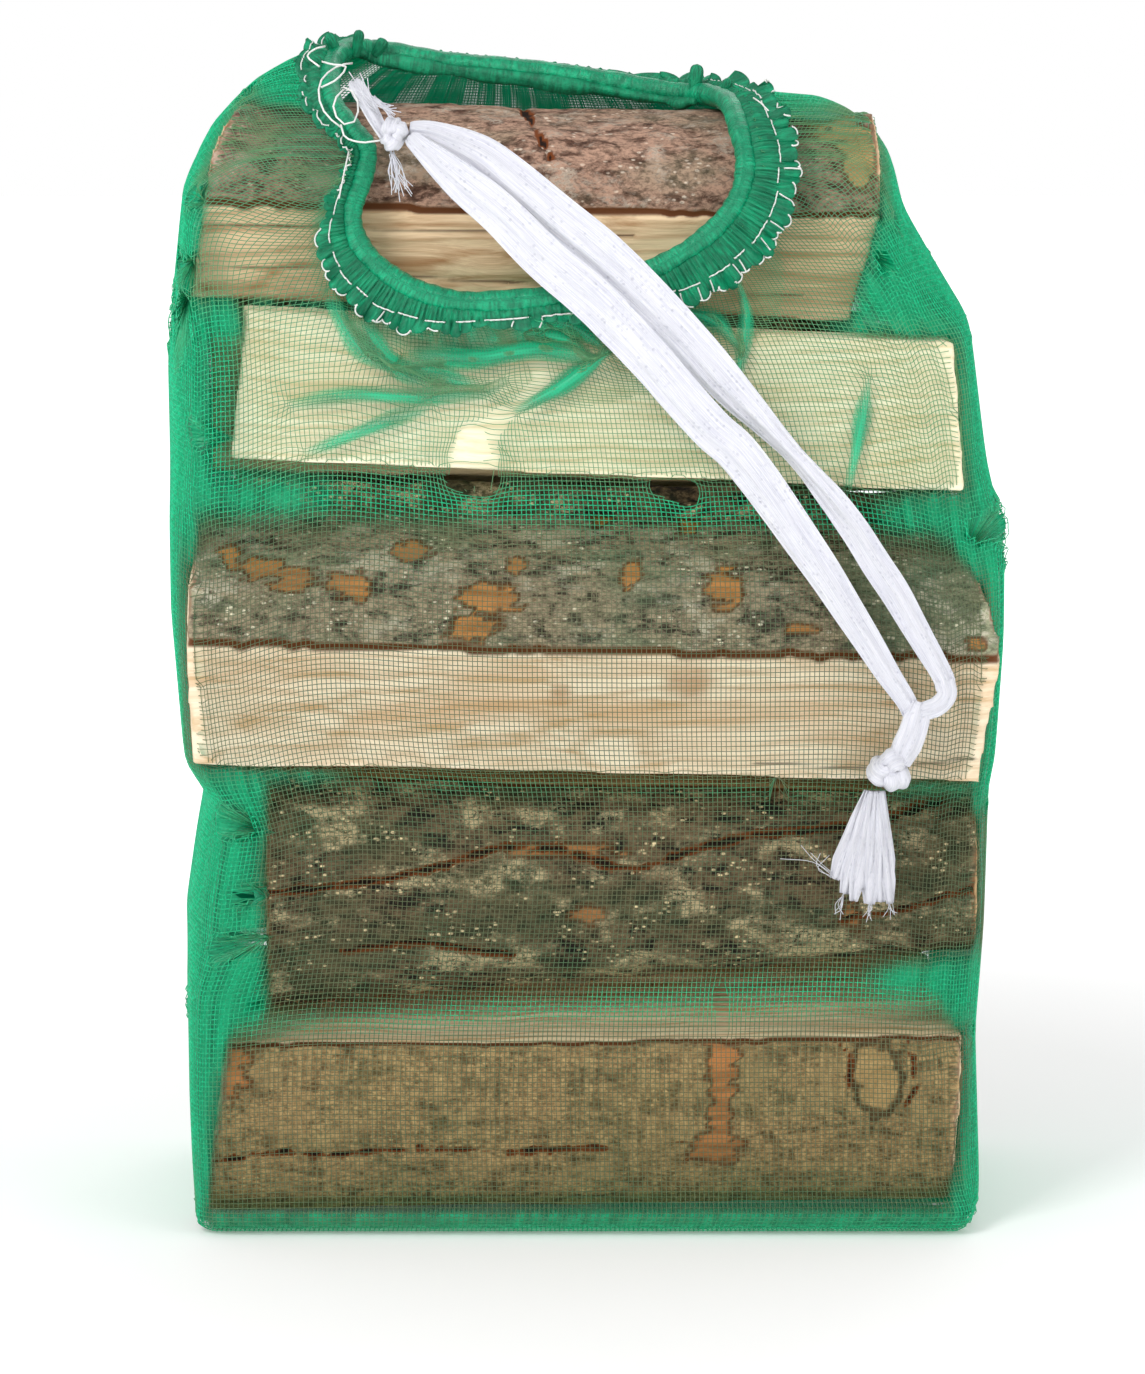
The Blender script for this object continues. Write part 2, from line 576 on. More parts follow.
def makeHandle():
    lower, lowerLine, lowerLength = strandPiece("tape_lower", lowerStrand, strandShapes["lower"], 0.4)
    upper, upperLine, upperLength = strandPiece("tape_upper", upperStrand, strandShapes["upper"], 2.1)
    # the bend in which the upper strand comes back to the knot, and the gathered neck
    share = np.linspace(0, 1, 50)
    bendPiece = bandAlong(
        "tape_bend", [(147.5, -101.5, 240), (148.5, -102.5, 234), (144.5, -104, 229.5), (138, -104, 227),
                      (132, -103.5, 224)], 50, 4.4 - 0.8 * share, 1.7 - 0.5 * share,
        lambda place, across: 0.5 * np.sin(8 * across + place / 9), 14, (0.25, -1.0, 0.1))
    neckPiece = bandAlong(
        "tape_neck", [(137.5, -102, 231), (136, -103, 224), (133.5, -103, 216), (129, -103, 206)], 50,
        np.interp(share, [0, 0.25, 0.7, 1], [3.2, 5.6, 6.0, 5.0]), np.full(50, 3.0),
        lambda place, across: 0.6 * np.sin(7 * across + place / 12) + 0.3 * np.sin(15 * across), 18, (0.1, -1.0, 0.0))
    knot = knotPiece("tape_knot_lower", np.array((125, -103.5, 202.5)), (6.8, 4.2, 7.2), 20, 0.5, 5.4)
    # the upper end is tied round the elastic
    upperKnot = knotPiece("tape_knot_upper", np.array((-77.5, -92, 462.5)), (5.4, 3.6, 3.6), 75, 1.7, 4.0)
    # the tape that goes from the upper knot up and round the elastic
    wrapPiece = bandAlong(
        "tape_wrap", [(-81, -91, 461), (-85, -88, 468), (-89.5, -84, 476), (-94, -78, 483)], 40,
        np.interp(np.linspace(0, 1, 40), [0, 0.3, 0.8, 1], [2.2, 3.0, 3.4, 2.6]), np.full(40, 0.9),
        lambda place, across: 0.6 * np.sin(6 * across + place / 9) + 0.3 * np.sin(14 * across), 14, (0.2, -1.0, 0.2))
    tails = []
    dice = random.Random(11)
    tailEnds = [(103, 157, 3.4), (107, 151, 3.2), (111, 148, 3.2), (117.5, 146.5, 3.8), (122, 147.5, 3.2),
                (126, 147, 2.6), (126.5, 158, 2.2), (113.5, 153, 3.0)]
    for number, (x, z, wide) in enumerate(tailEnds):
        start = (119.5 + 0.22 * (x - 116), -102.5 - 0.5 * (number % 3), 194)
        mid = (0.55 * start[0] + 0.45 * x, -103.2 - 0.7 * (number % 2), 0.55 * 194 + 0.45 * z)
        half = np.interp(np.linspace(0, 1, 34), [0, 0.3, 0.8, 1], [1.8, 0.9 * wide, 1.15 * wide, 0.6 * wide])
        seed = dice.uniform(0, 6)
        tails.append(bandAlong(
            "tape_tail_%d" % number, [start, mid, (x, -101.5 - 0.8 * (number % 3), z)], 34, half, np.full(34, 0.5),
            lambda place, across: 0.8 * np.sin(5 * across + place / 7 + seed) + 0.3 * np.sin(13 * across + seed), 12,
            (0.1 * (number % 3 - 1), -1.0, 0.0)))
    threads = frayThreads([((103, -102, 158), (90, -102, 168), 5), ((107, -102, 150), (104, -102, 142), 6),
                           ((118, -102, 148), (117, -102, 141), 8), ((126, -102, 149), (126.5, -101, 141), 7)],
                          0.16, 3)
    tufts = frayThreads([((-78, -93, 455), (-75, -96, 441), 26), ((-86, -91, 477), (-78, -94, 471), 22),
                         ((-84, -90, 470), (-92, -92, 484), 6)], 0.22, 5)
    joinPieces(tails + [threads], "tape_tassel")
    tassel = tails[0]
    joinPieces([upperKnot, tufts, wrapPiece], "tape_knot_upper")
    joinPieces([neckPiece, bendPiece], "tape_neck")
    for piece, node in ((lower, "handle_strand_lower"), (upper, "handle_strand_upper"), (neckPiece, "handle_neck"),
                        (knot, "handle_knot_lower"), (tassel, "handle_tassel"), (upperKnot, "handle_knot_upper")):
        finishPiece(piece, whiteTape, "white_tape", node)
    print("tape", round(lowerLength), round(upperLength))


def frayThreads(bundles, radius, seed):
    # bundles of loose fibres: start, end and how many, as one mesh
    dice = np.random.default_rng(seed)
    lines = []
    for start, end, count in bundles:
        start, end = np.array(start, float), np.array(end, float)
        long = np.linalg.norm(end - start)
        for _ in range(count):
            spreadOut = dice.normal(0, 0.2 * long, 3)
            middle = 0.5 * (start + end) + dice.normal(0, 0.09 * long, 3)
            line, _ = smoothLine([start + dice.normal(0, 0.6, 3), middle, end + spreadOut], 10)
            lines.append(line)
    field = np.array(lines)
    normals = np.tile((0.1, -0.9, 0.3), field.shape[:2] + (1,))
    field = np.concatenate([field, normals, np.zeros(field.shape[:2] + (1,))], 2)
    points, quads, caps, _ = threadMesh(field, np.ones(field.shape[:2], bool), radius)
    piece = addMesh("fray", points, quads, caps)
    return withoutWeave(piece)


def joinPieces(pieces, name):
    makeActive(pieces[0])
    for piece in pieces[1:]:
        piece.select_set(True)
    bpy.ops.object.join()
    pieces[0].name = name


makeHandle()
print("stage: handle")


# logs: the colours of each, and its marks as (x, z) in millimetres

plainLog = {
    "barkFrom": 0, "barkTo": 0, "grid": 3.0, "roughness": 1.0, "rings": 0.5, "stain": 0.3,
    "wood": [(226, 200, 158), (176, 138, 94), (160, 112, 66)],
    "bark": [(120, 104, 78), (58, 50, 38), (200, 186, 150), (88, 96, 66)], "specks": 0.6, "moss": 0.5, "streaks": 0.0,
    "flakes": [], "flakeColour": (190, 120, 60), "cracks": [], "crackSize": (2, 1), "knots": [], "splits": [],
}
logs = {
    "log_top": {
        "barkFrom": 25, "barkTo": 186, "grid": 1.9, "pith": (-24, 395), "roughness": 1.0,
        "wood": [(255, 224, 184), (186, 134, 90), (164, 120, 76)], "rings": 0.4, "stain": 0.35,
        "bark": [(172, 138, 118), (88, 62, 50), (226, 208, 188), (128, 128, 104)], "specks": 0.75, "moss": 0.35,
        "flakes": [(105, 466, 13, 9), (114, 452, 8, 12)], "flakeColour": (214, 178, 120),
        "cracks": [[(-32, 476), (-22, 466), (-14, 452)]], "crackSize": (2.6, 1.6),
        "splits": [[(-164, 407), (-110, 405), (-60, 401), (0, 398), (90, 394)],
                   [(-164, 424), (-60, 421), (20, 419)]],
    },
    "log_front_board": {
        "grid": 2.1, "pith": (-70, 270), "roughness": 0.35,
        "wood": [(252, 246, 216), (216, 200, 152), (208, 184, 120)], "rings": 0.3, "stain": 0.5,
        "bark": [(150, 120, 80), (80, 60, 40), (200, 180, 140), (90, 90, 60)], "specks": 0.3, "moss": 0.2,
        "knots": [(-62, 363, 5, 4)],
    },
    "log_middle": {
        "grid": 2.6, "pith": (0, 318), "stain": 0.4,
        "wood": [(206, 186, 146), (150, 126, 86), (120, 96, 64)],
        "bark": [(150, 120, 80), (80, 60, 40), (200, 180, 140), (90, 90, 60)], "specks": 0.3, "moss": 0.2,
        "splits": [[(-160, 352), (-60, 349), (120, 340)]],
    },
    "log_front_wide": {
        "barkFrom": 38, "barkTo": 191, "grid": 1.8, "pith": (-30, 205), "roughness": 0.8,
        "wood": [(252, 238, 210), (204, 168, 120), (206, 154, 94)], "rings": 0.4, "stain": 0.5,
        "bark": [(162, 148, 122), (70, 63, 52), (240, 233, 206), (122, 138, 108)], "specks": 0.85, "moss": 0.6,
        "flakes": [(-133, 284, 9, 4), (-120, 280, 9, 5), (-97, 278, 8, 5), (-93, 274, 5, 4), (-72, 290, 8, 3.5),
                   (-40, 272, 12, 7), (-28, 285, 5, 3), (-46, 259, 10, 6), (19, 281, 4, 5), (58, 276, 7, 8),
                   (44, 303, 7, 7), (-43, 311, 8, 4), (6, 301, 5, 3), (-146, 288, 5, 4), (90, 259, 8, 2),
                   (162, 252, 4, 3)],
        "flakeColour": (218, 152, 84),
        "knots": [(43, 236, 11, 9), (-10, 232, 6, 5)], "splits": [[(70, 203), (120, 200), (164, 205)]],
    },
    "log_front_dark": {
        "barkFrom": 108, "barkTo": 262, "grid": 1.8, "pith": (-2, 150), "roughness": 1.5,
        "wood": [(214, 186, 140), (160, 124, 80), (140, 100, 60)], "rings": 0.5, "stain": 0.3,
        "bark": [(116, 98, 74), (32, 28, 23), (240, 220, 174), (78, 86, 60)], "specks": 1.0, "moss": 0.5,
        "flakes": [(-10, 165, 24, 3), (1, 137, 7, 4), (112, 136, 4, 6)], "flakeColour": (192, 132, 80),
        "cracks": [[(-136, 146), (-106, 149), (-79, 153), (-60, 158), (-35, 166), (-10, 165), (11, 158), (23, 157),
                    (48, 166), (73, 172), (102, 174), (123, 178), (167, 190)],
                   [(108, 134), (132, 139), (167, 150)], [(-100, 120), (-70, 124), (-30, 118)]],
        "crackSize": (4.2, 3.2),
    },
    "log_front_bottom": {
        "barkFrom": 123, "barkTo": 320, "grid": 1.9, "pith": (-20, 90), "roughness": 0.55,
        "wood": [(252, 232, 196), (200, 160, 112), (184, 132, 82)], "rings": 0.55, "stain": 0.3,
        "bark": [(170, 142, 98), (108, 90, 60), (218, 190, 134), (116, 114, 74)],
        "specks": 0.5, "moss": 0.3, "streaks": 0.3,
        "flakes": [(-148, 80, 8, 20), (58, 76, 7, 14), (57, 56, 5, 16), (54, 36, 11, 6), (57, 40, 9, 5)],
        "flakeColour": (212, 142, 84),
        "cracks": [[(-162, 31), (-130, 36), (-107, 35), (-69, 38), (-27, 36), (10, 38)],
                   [(104, 86), (112, 78), (110, 64)], [(136, 84), (139, 66), (134, 56)]],
        "crackSize": (1.8, 1.6), "knots": [(123, 69, 11, 17)],
    },
    "log_back_bottom": {
        "barkFrom": -140, "barkTo": 67, "pith": (4, 50),
    },
    "log_back_lower": {
        "barkFrom": -142, "barkTo": -49, "pith": (60, 100), "roughness": 1.1, "rings": 0.6, "stain": 0.4,
        "wood": [(236, 216, 178), (192, 156, 110), (180, 130, 78)],
    },
    "log_back_middle": {
        "barkFrom": -69, "barkTo": 153, "pith": (6, 245), "roughness": 1.1, "specks": 0.7,
        "bark": [(128, 122, 106), (62, 58, 48), (206, 200, 174), (104, 112, 88)],
    },
    "log_back_upper": {
        "barkFrom": 44, "barkTo": 139, "pith": (60, 300), "roughness": 1.1, "stain": 0.4,
        "wood": [(240, 224, 184), (200, 168, 120), (184, 140, 86)],
    },
    "log_back_top": {
        "barkFrom": -55, "barkTo": 106, "pith": (30, 395),
        "bark": [(110, 94, 70), (50, 44, 34), (196, 180, 146), (80, 86, 60)],
    },
}


def mergedCopy(nodeName, newName):
    node = frame["nodes"][nodeName]
    makeActive(node)
    bpy.ops.object.duplicate()
    piece = bpy.context.object
    piece.name = newName
    bpy.ops.object.mode_set(mode="EDIT")
    bpy.ops.mesh.select_all(action="SELECT")
    bpy.ops.mesh.remove_doubles(threshold=0.00002)
    bpy.ops.object.mode_set(mode="OBJECT")
    return piece


def cloudAt(points, scale, octaves=3, seed=0.0):
    # smooth noise from about -1 to 1 at each point, with its own scale along each axis
    places = points * np.array(scale) + np.array((seed, 1.7 * seed, 2.3 * seed))
    return np.array([noise.fractal(p, 0.9, 2.0, octaves) for p in places.tolist()])


def faceKinds(piece, log):
    # for each face of the merged solid: 1 on bark, 2 on a cut end, 0 on split wood
    mesh = piece.data
    links = np.zeros(len(mesh.vertices), int)
    for edge in mesh.edges:
        links[edge.vertices[0]] += 1
        links[edge.vertices[1]] += 1
    places = meshPoints(mesh)
    middles = places[np.argsort(links)[-2:]]
    middles = middles[np.argsort(middles[:, 0])]
    kinds = []
    for face in mesh.polygons:
        share = (face.center.x - middles[0][0]) / (middles[1][0] - middles[0][0])
        middle = middles[0] + (middles[1] - middles[0]) * share
        turn = math.degrees(math.atan2(face.center.z - middle[2], face.center.y - middle[1]))
        span = (turn - log["barkFrom"]) % 360
        onBark = span < (log["barkTo"] - log["barkFrom"])
        kinds.append(2 if abs(face.normal.x) > 0.7 else int(onBark))
    return np.array(kinds)


def nearLine(points, line):
    # distance, seen from the front, from each point to a line of (x, z) corners in millimetres
    flat = points[:, [0, 2]]
    corners = np.array(line) * mm
    nearest = np.full(len(points), 1e9)
    for start, end in zip(corners[:-1], corners[1:]):
        along = end - start
        share = np.clip((flat - start) @ along / (along @ along), 0, 1)
        nearest = np.minimum(nearest, np.linalg.norm(flat - start - share[:, None] * along, axis=1))
    return nearest


def softened(mesh, values):
    # values averaged with those of the neighbours
    links = np.empty(2 * len(mesh.edges), int)
    mesh.edges.foreach_get("vertices", links)
    first, second = links.reshape(-1, 2).T
    count = np.bincount(links, minlength=len(values)) + 2
    for _ in range(2):
        total = 2 * values + np.bincount(first, values[second], len(values)) \
            + np.bincount(second, values[first], len(values))
        values = total / count
    return values


def shapeLog(name, log, seed):
    piece = mergedCopy(name, name + "_wood")
    kinds = faceKinds(piece, log)
    tree = BVHTree.FromObject(piece, bpy.context.evaluated_depsgraph_get())
    remesh = piece.modifiers.new("remesh", "REMESH")
    remesh.mode = "VOXEL"
    remesh.voxel_size = log["grid"] * mm * 1.0
    bpy.ops.object.modifier_apply(modifier="remesh")
    mesh = piece.data
    points = meshPoints(mesh)
    normals = meshPoints(mesh, "vertex_normals", "vector")
    jitter = np.stack([0.6 * cloudAt(points, (120, 120, 120), 2, seed + k) for k in range(3)], 1)
    looked = points + jitter * 2.2 * mm
    kind = np.array([kinds[tree.find_nearest(p)[2]] for p in looked.tolist()])
    bark, end = (softened(mesh, (kind == k).astype(float)) for k in (1, 2))
    front = (normals[:, 1] < 0.25) & (points[:, 1] < 0)
    rough = log["roughness"]

    edgeNoise = 1.6 * mm * cloudAt(points, (160, 60, 160), 3, seed + 5)
    flake = np.zeros(len(points))
    ragged = 0.62 * cloudAt(points, (150, 60, 330), 4, seed + 7)
    for x, z, wide, high in log["flakes"]:
        away = np.hypot((points[:, 0] - x * mm) / (wide * mm), (points[:, 2] - z * mm) / (high * mm))
        flake = np.maximum(flake, smoothStep(away + ragged, 1.15, 0.85) * front * bark)
    crack = np.zeros(len(points))
    for line in log["cracks"]:
        away = nearLine(points, line) + edgeNoise
        crack = np.maximum(crack, smoothStep(away, log["crackSize"][0] * mm / 2 + 0.6 * mm, 0) * front * bark)
    for line in log["splits"]:
        away = nearLine(points, line) + 0.15 * edgeNoise
        crack = np.maximum(crack, 0.7 * smoothStep(away, 2.0 * mm, 0.2 * mm) * front * (1 - bark) * (1 - end))
    knot = np.zeros(len(points))
    for x, z, wide, high in log["knots"]:
        away = np.hypot((points[:, 0] - x * mm) / (wide * mm), (points[:, 2] - z * mm) / (high * mm))
        knot = np.maximum(knot, smoothStep(away + edgeNoise / (5 * mm), 1.3, 0.2) * front)

    lumps = 0.8 * cloudAt(points, (26, 60, 60), 3, seed + 11) + 0.7 * cloudAt(points, (70, 150, 150), 4, seed + 13)
    grain = 0.55 * cloudAt(points, (9, 190, 190), 3, seed + 17) + 0.35 * cloudAt(points, (22, 90, 90), 2, seed + 19)
    saw = 0.3 * cloudAt(points, (200, 60, 200), 2, seed + 23)
    push = bark * lumps * rough + (1 - bark) * (1 - end) * grain + end * saw
    push -= 1.1 * flake * bark
    push -= log["crackSize"][1] * crack * bark + 1.3 * crack * (1 - bark)
    push += 2.6 * knot * bark * (0.6 + lumps) + 0.5 * knot * (1 - bark)
    lip = smoothStep(np.abs(bark - 0.5), 0.5, 0.0)
    points = points + normals * ((push - 0.7 - lip) * mm)[:, None]
    mesh.vertices.foreach_set("co", points.ravel())
    for label, values in (("bark", bark), ("cutEnd", end), ("flake", flake), ("crack", crack), ("knot", knot)):
        setValues(mesh, label, values)
    mesh.update()
    bpy.ops.object.shade_smooth()
    return piece


def logMaterial(name, log):
    look, tree, shader = newLook(name + "Look")
    place = inPlace(tree)
    fromPith = addNode(tree, "ShaderNodeMapping", {
        "Vector": place, "Location": (0, -log["pith"][0] * mm, -log["pith"][1] * mm)}).outputs[0]

    def mask(label):
        return valueOf(tree, label)

    light, dark, stain = (tone(*c) for c in log["wood"])
    base, deep, speck, moss = (tone(*c) for c in log["bark"])
    wood = placedGroup(tree, splitWood, {
        "Vector": fromPith, "Light": light, "Dark": dark, "Stain": stain,
        "Ring Strength": log["rings"], "Stain Amount": log["stain"]})
    bark = placedGroup(tree, barkSkin, {
        "Vector": place, "Base": base, "Dark": deep, "Speck": speck, "Moss": moss,
        "Speck Amount": log["specks"], "Moss Amount": log["moss"], "Streak Amount": log["streaks"]})
    end = placedGroup(tree, cutEnd, {"Vector": fromPith, "Light": light, "Dark": dark})
    flakeLook = placedGroup(tree, splitWood, {
        "Vector": place, "Light": tone(*log["flakeColour"]), "Dark": tone(*(0.55 * c for c in log["flakeColour"])),
        "Stain": deep, "Ring Strength": 0.2, "Stain Amount": 0.5})
    barkColour = blendColours(tree, maths(tree, "MULTIPLY", mask("flake"), 0.9), bark.outputs["Color"],
                              flakeLook.outputs["Color"])
    rim = maths(tree, "MULTIPLY", mask("flake"), maths(tree, "SUBTRACT", 1.0, mask("flake")))
    barkColour = blendColours(tree, maths(tree, "MULTIPLY", rim, 2.8), barkColour, tone(62, 38, 22))
    knotted = spread(tree, mask("knot"), 0.3, 0.6)
    knotRim = maths(tree, "SUBTRACT", spread(tree, mask("knot"), 0.04, 0.2), knotted)
    barkColour = blendColours(tree, maths(tree, "MULTIPLY", knotted, 0.55), barkColour, tone(206, 172, 116))
    barkColour = blendColours(tree, maths(tree, "MULTIPLY", knotRim, 0.8), barkColour, tone(52, 38, 24))
    barkColour = blendColours(tree, spread(tree, mask("crack"), 0.15, 0.5), barkColour, tone(118, 62, 28))
    barkColour = blendColours(tree, spread(tree, mask("crack"), 0.6, 0.95), barkColour, tone(34, 18, 10))
    woodColour = blendColours(tree, spread(tree, mask("crack"), 0.3, 0.9), wood.outputs["Color"], tone(52, 32, 18))
    woodColour = blendColours(tree, maths(tree, "MULTIPLY", mask("knot"), 0.55), woodColour, tone(176, 118, 62))
    colour = blendColours(tree, mask("bark"), woodColour, barkColour)
    rim = maths(tree, "MULTIPLY", mask("bark"), maths(tree, "SUBTRACT", 1.0, mask("bark")))
    colour = blendColours(tree, spread(tree, rim, 0.03, 0.2), colour, tone(96, 54, 24))
    colour = blendColours(tree, mask("cutEnd"), colour, end.outputs["Color"])
    tree.links.new(colour, shader.inputs["Base Color"])
    height = addNode(tree, "ShaderNodeMix", {
        0: mask("bark"), 2: wood.outputs["Height"], 3: bark.outputs["Height"]}, data_type="FLOAT").outputs[0]
    height = addNode(tree, "ShaderNodeMix", {
        0: mask("cutEnd"), 2: height, 3: end.outputs["Height"]}, data_type="FLOAT").outputs[0]
    roughen(tree, shader, height, 0.7, 0.0007)
    tree.links.new(spread(tree, mask("bark"), 0, 1, 0.72, 0.9), shader.inputs["Roughness"])
    shader.inputs["Specular IOR Level"].default_value = 0.25
    return look


slotOf = {entry["node"]: entry["material_slot"] for entry in frame["record"]["subparts"]}
logPieces = []
for number, (name, own) in enumerate(logs.items()):
    log = plainLog | own
    piece = shapeLog(name, log, 10.0 * number)
    finishPiece(piece, logMaterial(name, log), slotOf[name], name)
    logPieces.append(piece)


# loose splinters squeezed between the logs, in millimetres: a line and half its height
splinters = [{"line": [(-146, -47, 387), (-60, -46, 385), (40, -47, 382), (116, -46, 380)], "half": 7.5},
             {"line": [(-148, -46, 309), (-40, -45, 308), (70, -46, 306), (150, -45, 304)], "half": 8.0}]


def makeSplinters():
    made = []
    for number, splinter in enumerate(splinters):
        line, _ = smoothLine(splinter["line"], 90)
        share = np.linspace(0, 1, 90)
        half = splinter["half"] * (0.85 + 0.1 * np.sin(19 * share + number) + 0.08 * np.sin(47 * share))
        section = flatSection(half, np.full(90, 1.8), lambda place, across:
                              0.5 * np.sin(5 * across + place / 8) + 0.3 * np.sin(11 * across - place / 3), 12)
        made.append(sweptPiece("splinter_%d" % number, line, np.tile((0.0, -1.0, 0.1), (90, 1)), section))
    joinPieces(made, "loose_splinters")
    setValues(made[0].data, "bark", np.ones(len(made[0].data.vertices)))
    finishPiece(made[0], bpy.data.materials["log_front_darkLook"], "bark_log")


makeSplinters()
print("stage: logs")


# centre line of the elastic round the mouth, in millimetres

elasticRoute = [
    (-89, 0, 493), (-57, 1, 488), (-10, 1, 483), (36, 0, 476), (52, -14, 475), (60, -40, 472),
    (64, -62, 461), (66, -73, 448), (63, -77, 436), (54, -80, 424), (39, -84, 413), (20, -87, 404),
    (-10, -89, 397), (-43, -89, 394), (-64, -88, 397), (-80, -86, 405), (-92, -83, 417),
    (-95, -79, 430), (-91, -75, 443), (-89, -73, 454), (-95, -70, 463), (-104, -58, 474),
    (-105, -33, 488), (-99, -8, 494),
]

routeEnd = len(elasticRoute)  # places on the route run from 0 to this, once round the mouth


def smoothCurve(points, index):
    # a point for each place on a closed smooth curve through the points
    points = np.array(points, float)
    count = len(points)
    index = np.asarray(index, float) % count
    low = np.floor(index).astype(int)
    t = (index - low)[:, None]
    a, b, c, d = (points[(low + k) % count] for k in (-1, 0, 1, 2))
    return curveThrough(a, b, c, d, t)


def mouthFrame(index, out=0.0, lift=0.0):
    # points on the elastic's centre line, moved away from the mouth and off the log
    index = np.asarray(index, float)
    points = smoothCurve(elasticRoute, index)
    along = smoothCurve(elasticRoute, index + 0.05) - smoothCurve(elasticRoute, index - 0.05)
    lean = math.radians(78) * np.clip((points[:, 2] - 430) / 60, 0, 1)
    off = np.stack([0 * lean, -np.cos(lean), np.sin(lean)], 1)
    away = -np.cross(along, off)
    away /= np.linalg.norm(away, axis=1)[:, None]
    return points + away * np.reshape(out, (-1, 1)) + off * np.reshape(lift, (-1, 1))


def lineShares(points, line):
    # seen from the front: nearest distance to a line of (x, z, ...), the way to it, and its other values there
    flat = points[..., [0, 2]]
    corners = np.array(line, float)
    best = np.full(flat.shape[:-1], 1e9)
    way = np.zeros(flat.shape)
    extra = np.zeros(flat.shape[:-1])
    for start, end in zip(corners[:-1], corners[1:]):
        along = end[:2] - start[:2]
        share = np.clip((flat - start[:2]) @ along / (along @ along), 0, 1)
        gap = start[:2] + share[..., None] * along - flat
        distance = np.linalg.norm(gap, axis=-1)
        nearer = distance < best
        best = np.where(nearer, distance, best)
        way = np.where(nearer[..., None], gap, way)
        if len(start) > 2:
            extra = np.where(nearer, start[2] + share * (end[2] - start[2]), extra)
    return best, way, extra


def between(grid, index):
    # values between the rows of a grid, on smooth curves through them
    last = len(grid) - 1
    low = np.clip(index.astype(int), 0, last - 1)
    t = index - low
    t = t.reshape(t.shape + (1,) * (grid.ndim - t.ndim))

    def row(k):
        k = np.clip(k, 0, last)
        return grid[k] if k.ndim == 1 else np.take_along_axis(grid, k[:, :, None], 0)
    a, b, c, d = row(low - 1), row(low), row(low + 1), row(low + 2)
    return curveThrough(a, b, c, d, t)


def betweenColumns(grid, index):
    padded = np.concatenate([grid[:, -1:], grid, grid[:, :3]], 1)
    return between(padded.transpose(1, 0, 2), index + 1)


# folds of slack net: several layers of net lying together, as thin sheets that show what is behind them

# millimetres round the bag, lowest and highest place, how dense, and how far it gives way to logs behind it
foldSetup = {
    "left": {"around": (812, 1110), "low": 4, "high": 520, "dense": 1.0, "hidden": 1.0},
    "right": {"around": (286, 566), "low": 4, "high": 520, "dense": 1.0, "hidden": 1.0},
    "back": {"around": (520, 900), "low": 432, "high": 520, "dense": 0.95, "hidden": 0.0},
    "foot": {"around": (-26, 366), "low": -6, "high": 9, "dense": 1.0, "hidden": 0.0},
}


def foldMaterial():
    look, tree, shader = newLook("netFoldLook")
    place = inPlace(tree)
    along, across, dense = (valueOf(tree, name) for name in ("along", "across", "dense"))
    flat = addNode(tree, "ShaderNodeCombineXYZ", {"X": across, "Y": along}).outputs[0]
    streaks = cloudy(tree, stretched(tree, flat, (0.16, 0.02, 1)), detail=3, rough=0.6)
    patches = cloudy(tree, place, 55, 3)
    upright = maths(tree, "ABSOLUTE", maths(tree, "SINE", maths(tree, "MULTIPLY", across, 2.4)))
    level = maths(tree, "ABSOLUTE", maths(tree, "SINE", maths(tree, "MULTIPLY", along, 2.4)))
    weave = maths(tree, "MAXIMUM", spread(tree, upright, 0.35, 0.85), spread(tree, level, 0.35, 0.85))
    share = maths(tree, "MULTIPLY_ADD", spread(tree, streaks, 0.35, 0.68), 0.7, maths(tree, "MULTIPLY", patches, 0.3))
    colour = blendColours(tree, share, tone(0, 122, 84), tone(6, 186, 132))
    tree.links.new(colour, shader.inputs["Base Color"])
    tree.links.new(colour, shader.inputs["Emission Color"])
    shader.inputs["Emission Strength"].default_value = 0.13
    cover = maths(tree, "MULTIPLY_ADD", weave, 0.3, spread(tree, streaks, 0.3, 0.62, 0.58, 0.9))
    alpha = maths(tree, "MULTIPLY", dense, cover)
    tree.links.new(addNode(tree, "ShaderNodeClamp", {0: alpha}).outputs[0], shader.inputs["Alpha"])
    height = maths(tree, "MULTIPLY_ADD", weave, 0.35, streaks)
    roughen(tree, shader, height, 0.45, 0.0008)
    tree.links.new(spread(tree, streaks, 0.3, 0.7, 0.32, 0.5), shader.inputs["Roughness"])
    return look


def sheetMesh(name, points, dense, along, across):
    # a sheet from a grid of points, left out where there is nothing of it
    rows, columns = points.shape[:2]
    i, k = np.indices((rows - 1, columns - 1)).reshape(2, -1)
    first = i * columns + k
    quads = np.stack([first, first + 1, first + columns + 1, first + columns], 1)
    quads = quads[dense.ravel()[quads].max(1) > 0.03]
    used = np.unique(quads)
    quads = np.searchsorted(used, quads)
    piece = addMesh(name, points.reshape(-1, 3)[used], quads, np.zeros((0, 3), int))
    for label, values in (("dense", dense), ("along", along), ("across", across)):
        setValues(piece.data, label, np.broadcast_to(values, dense.shape).ravel()[used])
    return piece


